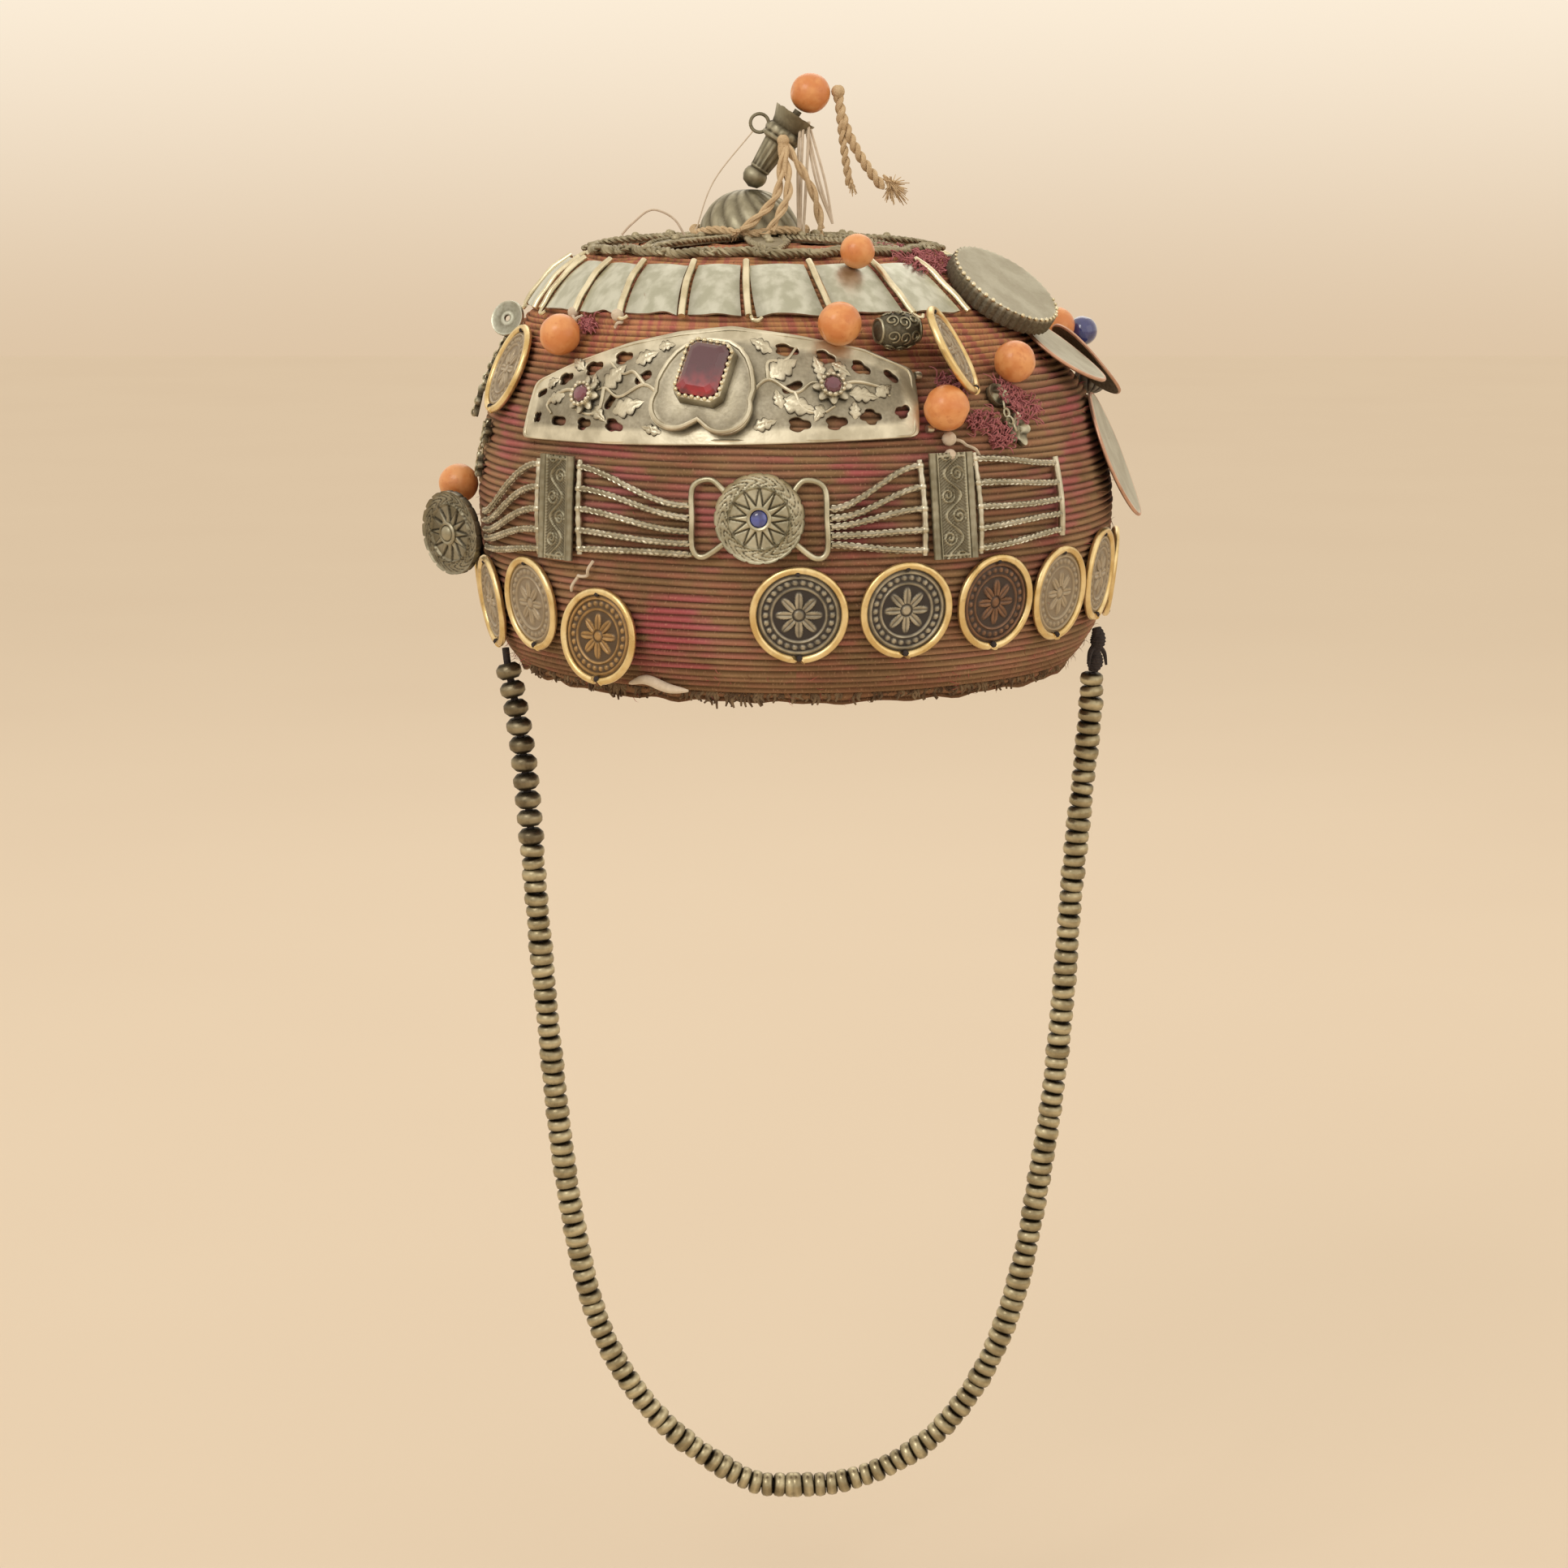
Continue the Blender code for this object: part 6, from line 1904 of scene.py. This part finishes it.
# %% Finial
GAP = 0.35
STRAP_ROOM = 1.4          # the crossed straps under the dome
FOOT = CAP_SECTIONS[LAST, 0] - HEAD_TOP + GAP + STRAP_ROOM + 0.3
FINIAL_X = -12.3
DOME_TALL = 12.2
STEM_START = -10.7
STEM_LEAN = radians(34.0)
STEM_LENGTH = 23.2
KNUCKLE = 3.4
FLUTES = 14
dome_line = smooth_path(((13.4, 0.0), (13.9, 1.2), (12.9, 4.6), (10.6, 8.0), (7.2, 10.6), (3.6, 11.9),
                         (0.05, DOME_TALL)), 5)
count = len(dome_line)
DOME_SIDES = 12 * FLUTES
turns = np.arange(DOME_SIDES) * tau / DOME_SIDES
sweep = np.linspace(0, 1, count)[:, None]
groove = np.abs(np.sin(FLUTES / 2 * (turns[None, :] + 1.1 * sweep))) ** 0.5
depth = 0.75 * np.sin(pi * np.clip((sweep - 0.06) / 0.84, 0, 1)) ** 0.5
size = dome_line[:, :1] - (1 - groove) * depth
rows = round_points(size, turns, FOOT + dome_line[:, 1:]) + (FINIAL_X, 0, 0)
bottom = np.broadcast_to((FINIAL_X, 0.0, FOOT), (1, DOME_SIDES, 3))
relief = np.concatenate([np.zeros((1, DOME_SIDES)), 0.15 + 0.85 * groove * np.ones((count, 1))])
piece = Piece()
piece.grid(np.concatenate([bottom, rows]), around=True, relief=relief)
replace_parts(piece.make("fluted_dome", bar_silver), "finial_dome")

stem_way = np.array((sin(STEM_LEAN), 0, cos(STEM_LEAN)))
stem_foot = np.array((STEM_START, 0, FOOT + DOME_TALL + 0.2 + KNUCKLE)) - KNUCKLE * stem_way
stem_seat = frame_of((stem_way[2], 0, -stem_way[0]), (0, 1, 0), stem_way, stem_foot)
PEG = STEM_LENGTH + 1.4
stem_line = ((0, 0), (2.3, 0.8), (3.2, 2.2), (3.4, 3.4), (3.1, 4.6), (2.6, 5.2), (2.9, 5.7), (2.7, 6.2),
             (3.0, 8.6), (3.5, 13.2), (3.7, 14.0), (5.1, 14.6), (5.3, 15.2), (4.9, 15.8), (5.3, 16.6),
             (5.2, 17.8), (4.5, 18.6), (4.9, 20.2), (6.2, STEM_LENGTH), (5.8, STEM_LENGTH), (4.2, 20.6),
             (1.1, 20.2), (1.1, PEG), (0, PEG))
tone = (0, 0.3, 0.8, 1, 0.7, 0.1, 0.9, 0.2, 0.8, 0.8, 0.3, 0.8, 1, 0.2, 1, 0.6, 0.1, 0.6, 1, 0.8,
        0.2, 0, 0.3, 0.3)
SIDES = 48
rows, relief = [], []
for (r, z), shade in zip(stem_line, tone):
    ring, tones = [], []
    for k in range(SIDES):
        turn = tau * k / SIDES
        lines = cos(turn * 12) if 6 < z < 14 or 15.5 < z < 18 else 0.0
        torn = 0.0
        if z >= STEM_LENGTH and r > 5:
            torn = 0.45 * noise.noise((3 * cos(turn), 3 * sin(turn), 0))
        ring.append(((r + 0.14 * lines) * cos(turn), (r + 0.14 * lines) * sin(turn), z + torn))
        tones.append(min(1.0, max(0.0, shade + 0.35 * lines)))
    rows.append(ring)
    relief.append(tones)
piece = Piece()
piece.grid(placed(stem_seat, rows), around=True, relief=relief)
eye = placed(stem_seat, [(-7.0, 0, 15.9)])[0]
turns = np.arange(24) * tau / 24
piece.tube(np.stack([eye[0] + 2.5 * np.cos(turns), np.full(24, eye[1]), eye[2] + 2.5 * np.sin(turns)], -1),
           0.5, 8, loop=True, relief=0.6)
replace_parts(piece.make("finial_stem_cup", bar_silver), "finial_stem")


def add_cord(piece, path, radius, twist=1.5, plies=2):
    """A twisted cord, whose plies wind round the path."""
    path = np.asarray(path, float)
    whole = distances(path)[-1]
    marks = np.linspace(0, whole, max(8, int(whole / 0.45)))
    line = at_marks(path, marks)
    side, other = carried(line)
    for ply in range(plies):
        turn = marks * twist + tau * ply / plies
        offset = np.cos(turn)[:, None] * side + np.sin(turn)[:, None] * other
        piece.tube(line + offset * radius * 0.5, radius * 0.56, 6, relief=0.8)


def add_fray(piece, tip, way, length, spread, count, seed):
    """Loose ends that open out from the tip of a cord."""
    pick = random.Random(seed)
    way = unit(way)
    for _ in range(count):
        out = np.array([pick.uniform(-1, 1) for _ in range(3)]) * spread
        end = tip + way * length * pick.uniform(0.6, 1.0) + out
        middle = tip + way * length * 0.5 + out * 0.3
        piece.tube(smooth_path([tip, middle, end], 3), np.linspace(0.30, 0.12, 7), 4)


bead_middle, bead_size = middle_of("finial_bead")
knot = bead_middle + (7.6, 0, 0.4)
piece = Piece()
drilled_ball(piece, seat_toward(knot, (0, 0, 1)), 1.9, 3, rows=8, sides=12)
for side, drop in ((1.2, 25.0), (10.5, 26.0)):
    part = np.linspace(0, 1, 12)
    path = knot + np.stack([2.0 * part + side * part**2, -0.6 * part, -drop * part], -1)
    add_cord(piece, path, 1.15 + (0.25 if side > 5 else 0.0), twist=1.1)
    fan, strands = (3.4, 90) if side > 5 else (1.3, 26)
    add_fray(piece, path[-1] + (0, 0, 3.5), path[-1] - path[-3], 7.0, fan, strands, int(side))
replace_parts(piece.make("tassel", cotton, slot_name="cotton_cord"), "finial_tassel")

collar = placed(stem_seat, [(1.0, -6.8, 15.6)])[0]
CORD_ENDS = (
    ((-4.4, -11.6, 12.0), (-9.2, -15.6, 5.5), (-14.5, -17.6, 1.4)),
    ((-1.6, -12.2, 12.0), (-4.2, -16.2, 5.5), (-6.6, -17.8, 1.4)),
    ((4.0, -8.6, 14.0), (6.4, -7.6, 7.0), (7.4, -7.0, 1.4)),
)
piece = Piece()
drilled_ball(piece, seat_toward(collar, (0, 0, 1)), 1.7, 5, rows=8, sides=12)
for number, route in enumerate(CORD_ENDS):
    points = [tuple(collar)] + [(x, y, FOOT + z) for x, y, z in route]
    path = smooth_path(points, 10)
    add_cord(piece, path, 1.25, twist=0.5)
    add_fray(piece, path[-1], path[-1] - path[-4], 3.0, 1.6, 20, number + 10)
turns = np.linspace(0, tau, 120)
gather = round_points(15.2 + 0.5 * np.sin(turns * 7), turns, FOOT + 0.9 + 0.5 * np.sin(turns * 5))
add_cord(piece, gather + (FINIAL_X, 0, 0), 1.2, twist=0.9, plies=3)
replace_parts(piece.make("collar_cords", cotton, slot_name="cotton_cord"), "finial_cords")
print("finial stands", round(float(bead_middle[2] + bead_size)), "mm above the head")

# %% [markdown]
# Flat straps cross under the finial and run over the crown. They are strips of dull metal ribbon
# with a twisted wire along each edge and a loop at the end, where they were sewn down. Each strap
# is a thin slab bent to the crown, so its edges cast a small shadow. A braid of three wires lies in
# a ring round their ends, with small loops that were sewn through the wool.

# %% Straps of the crown
ARMS = 8
ARM_STATIONS = np.array(((15.0, 10.4), (22.0, 9.5), (33.0, 10.0), (40.0, 7.0), (44.5, 3.0)))
STRAP_THICK = 1.2
piece = Piece()
for arm in range(ARMS):
    middle = 360.0 * arm / ARMS + 4.0
    radii = np.linspace(8.0, 44.5, 34)
    wide = np.interp(radii, ARM_STATIONS[:, 0], ARM_STATIONS[:, 1])
    spread = np.degrees(wide / 2 / radii)
    across = np.linspace(-1, 1, 9)
    angles = middle + spread[:, None] * across[None, :]
    places = at_radius(radii)[:, None] + 0 * across[None, :]
    weave = 0.5 + 0.5 * np.cos(radii * 3.4)[:, None] * np.cos(across * 9)[None, :]
    lifts = 0.55 + STRAP_THICK + 0.12 * weave - 0.25 * across[None, :] ** 2 + 0.05 * arm
    front = off_skin(angles, places, lifts)[0]
    back = off_skin(angles, places, lifts - STRAP_THICK)[0]
    piece.slab(front, back, 0.35 + 0.5 * weave)
    for column in (0, 8):
        add_cord(piece, front[:, column], 0.85, twist=1.8)
    tip = front[-1, 4]
    outward = unit(tip - front[-4, 4])
    turns = np.linspace(0, tau, 12, endpoint=False)
    side = unit(front[-1, 8] - front[-1, 0])
    ring = np.outer(np.cos(turns), outward) + np.outer(np.sin(turns), side)
    piece.tube(tip + 1.4 * outward + 1.5 * ring, 0.45, 6, loop=True, relief=0.9)
    for spot in (6, 15, 24):
        piece.ball(front[spot, 4] + (0, 0, 0.3), 1.2, 10, relief=0.9)
around = np.linspace(-180, 180, 420)
wander = 46.4 + 0.9 * np.sin(np.radians(around * 9)) + 0.6 * np.sin(np.radians(around * 23))
add_cord(piece, off_skin(around, at_radius(wander), 1.3)[0], 1.35, twist=1.1, plies=3)
BRAID_LOOP = ((-2.4, 46.0), (-1.6, 48.4), (1.6, 48.6), (2.2, 46.2))
for angle in np.arange(-170, 180, 17):
    loop = [off_skin(angle + a, at_radius(r), 1.9)[0] for a, r in BRAID_LOOP]
    add_cord(piece, smooth_path(loop, 5), 0.8, twist=1.8)
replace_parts(piece.make("crown_straps", strap_silver), "crown_star")
print("straps on the crown:", ARMS)

# %% [markdown]
# Last come the small loose things that show the cap was worn and mended: threads from the finial
# to the crown, knots beside the plates, tufts of pink wool and bits of felt that hang from the rim.
# They are thin tubes laid one by one, because their places follow no rule, and short fibres spread
# round those places with a fixed seed.

# %% Threads, tufts and felt


crown = 114.2 - HEAD_TOP
# Threads in the air: their points and half thickness
air_threads = [
    ([tuple(eye + (-1.5, 0, -1.8)), (-22.0, -3.0, 20.0), (-27.0, -6.0, FOOT + 1.0)], 0.22),
]
for shift in (0.0, 0.9, 2.4):
    air_threads += [
        ([(1.6 + shift, -3.0, 36.0), (1.0 + shift, -4.5, 22.0),
          (1.2 + shift / 2, -8.0, crown + 1.8)], 0.42),
        ([(3.2 + shift / 2, -2.0, 34.0), (6.0 + shift, -4.0, 20.0), (10.5, -5.5, 8.5)], 0.38),
    ]
air_threads.append((
    [(-47.0, -12.0, crown + 2.5), (-44.0, -12.0, 8.8), (-38.8, -12.0, 12.4), (-33.0, -12.0, 10.2),
     (-29.6, -12.0, crown + 2.0)], 0.32))
piece = Piece()
for points, radius in air_threads:
    piece.tube(smooth_path(points, 8), radius, 6)
# Threads on the wool: points of angle and height
WOOL_THREADS = (
    ((-41.6, 27.0), (-40.0, 31.0), (-38.0, 31.4), (-36.4, 35.4)),
    ((29.0, 66.5), (31.5, 64.8), (33.6, 62.0)),
    ((28.0, 62.4), (30.8, 60.0), (32.4, 61.6)),
    ((-51.0, 97.0), (-48.6, 94.6), (-47.6, 96.4)),
    ((-36.2, 97.4), (-35.0, 95.0), (-36.6, 93.8)),
)
for route in WOOL_THREADS:
    path = smooth_path(route, 8)
    lifts = 1.3 + 0.5 * np.sin(np.arange(len(path)) * 0.7)
    piece.tube(on_cap(path[:, 0], path[:, 1], lifts), 0.42, 6)
thick = smooth_path(((-32.0, 4.0), (-28.0, 5.4), (-24.0, 3.6), (-20.0, 3.2)), 8)
size = 0.3 + 1.1 * np.sin(np.linspace(0, pi, len(thick))) ** 0.8
piece.tube(on_cap(thick[:, 0], thick[:, 1], 1.6), size, 10)
# Knots: angle, height, half thickness
KNOTS = ((-36.2, 96.4, 1.7), (-50.4, 96.6, 1.5), (27.6, 66.8, 1.9), (27.2, 62.8, 1.6))
for angle, height, size in KNOTS:
    drilled_ball(piece, seat_at(angle, at_height(height), 1.6), size, angle, rows=8, sides=12)
piece.make("threads", thread_white, slot_name="cotton_cord")

# Tufts: angle, height, reach
TUFTS = ((36.0, 70.5, 5.0), (47.0, 72.8, 5.5), (45.0, 77.0, 4.5), (39.0, 66.0, 4.0), (32.0, 80.0, 4.5),
         (48.0, 110.5, 6.0), (57.0, 109.5, 6.0), (66.0, 108.0, 5.0), (-44.0, 94.0, 3.0))
tuft_points = []
for angle, height, reach in TUFTS:
    for _ in range(64):
        a = angle + chance.uniform(-1, 1) * reach / 1.6
        h = height + chance.uniform(-1, 1) * reach * 0.5
        tuft_points.append((a, h, reach))
piece = Piece()
for a, h, reach in tuft_points:
    seat = seat_at(a, at_height(min(h, 113.0)), 0.2)
    bend = [chance.uniform(-1, 1) * reach * 0.55 for _ in range(4)]
    path = placed(seat, [(0, 0, 0), (bend[0] * 0.5, bend[1] * 0.5, 1.6), (bend[0], bend[1], 1.9),
                         (bend[0] + bend[2] * 0.6, bend[1] + bend[3] * 0.6, 1.0)])
    piece.tube(smooth_path(path, 3), np.linspace(0.26, 0.10, 10), 4)
piece.make("pink_tufts", pink_wool, slot_name="wool")

# Felt bits: angle, length
FELT_BITS = [(-38.0, 5.0), (-14.0, 4.5), (-9.0, 4.0), (100.0, 3.0), (150.0, 4.0), (215.0, 3.2),
             (265.0, 3.4)]
FELT_BITS += [(angle, 2.4 + 0.8 * sin(angle)) for angle in range(-66, 70, 4)]
piece = Piece()
for angle, reach in FELT_BITS:
    for _ in range(9):
        a = angle + chance.uniform(-2.4, 2.4)
        start = on_cap(a, 1.2, -0.8)
        drop = reach * chance.uniform(0.5, 1.0)
        end = start + (chance.uniform(-1, 1), chance.uniform(-1, 1), -drop)
        middle = (start + end) / 2 + (chance.uniform(-1, 1), 0, 0)
        piece.tube(smooth_path([start, middle, end], 3), np.linspace(0.6, 0.25, 7), 5)
piece.make("felt_bits", felt, slot_name="wool")
print("threads:", len(air_threads) + len(WOOL_THREADS) + 1, "tufts:", len(TUFTS))

# %% [markdown]
# The helper patterns go, and the bounds of all shown pieces are measured.

# %% Finish
for pattern in (bead, grain, link, small_link, disc_bead, big_bead):
    bpy.data.objects.remove(pattern)
low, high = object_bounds()
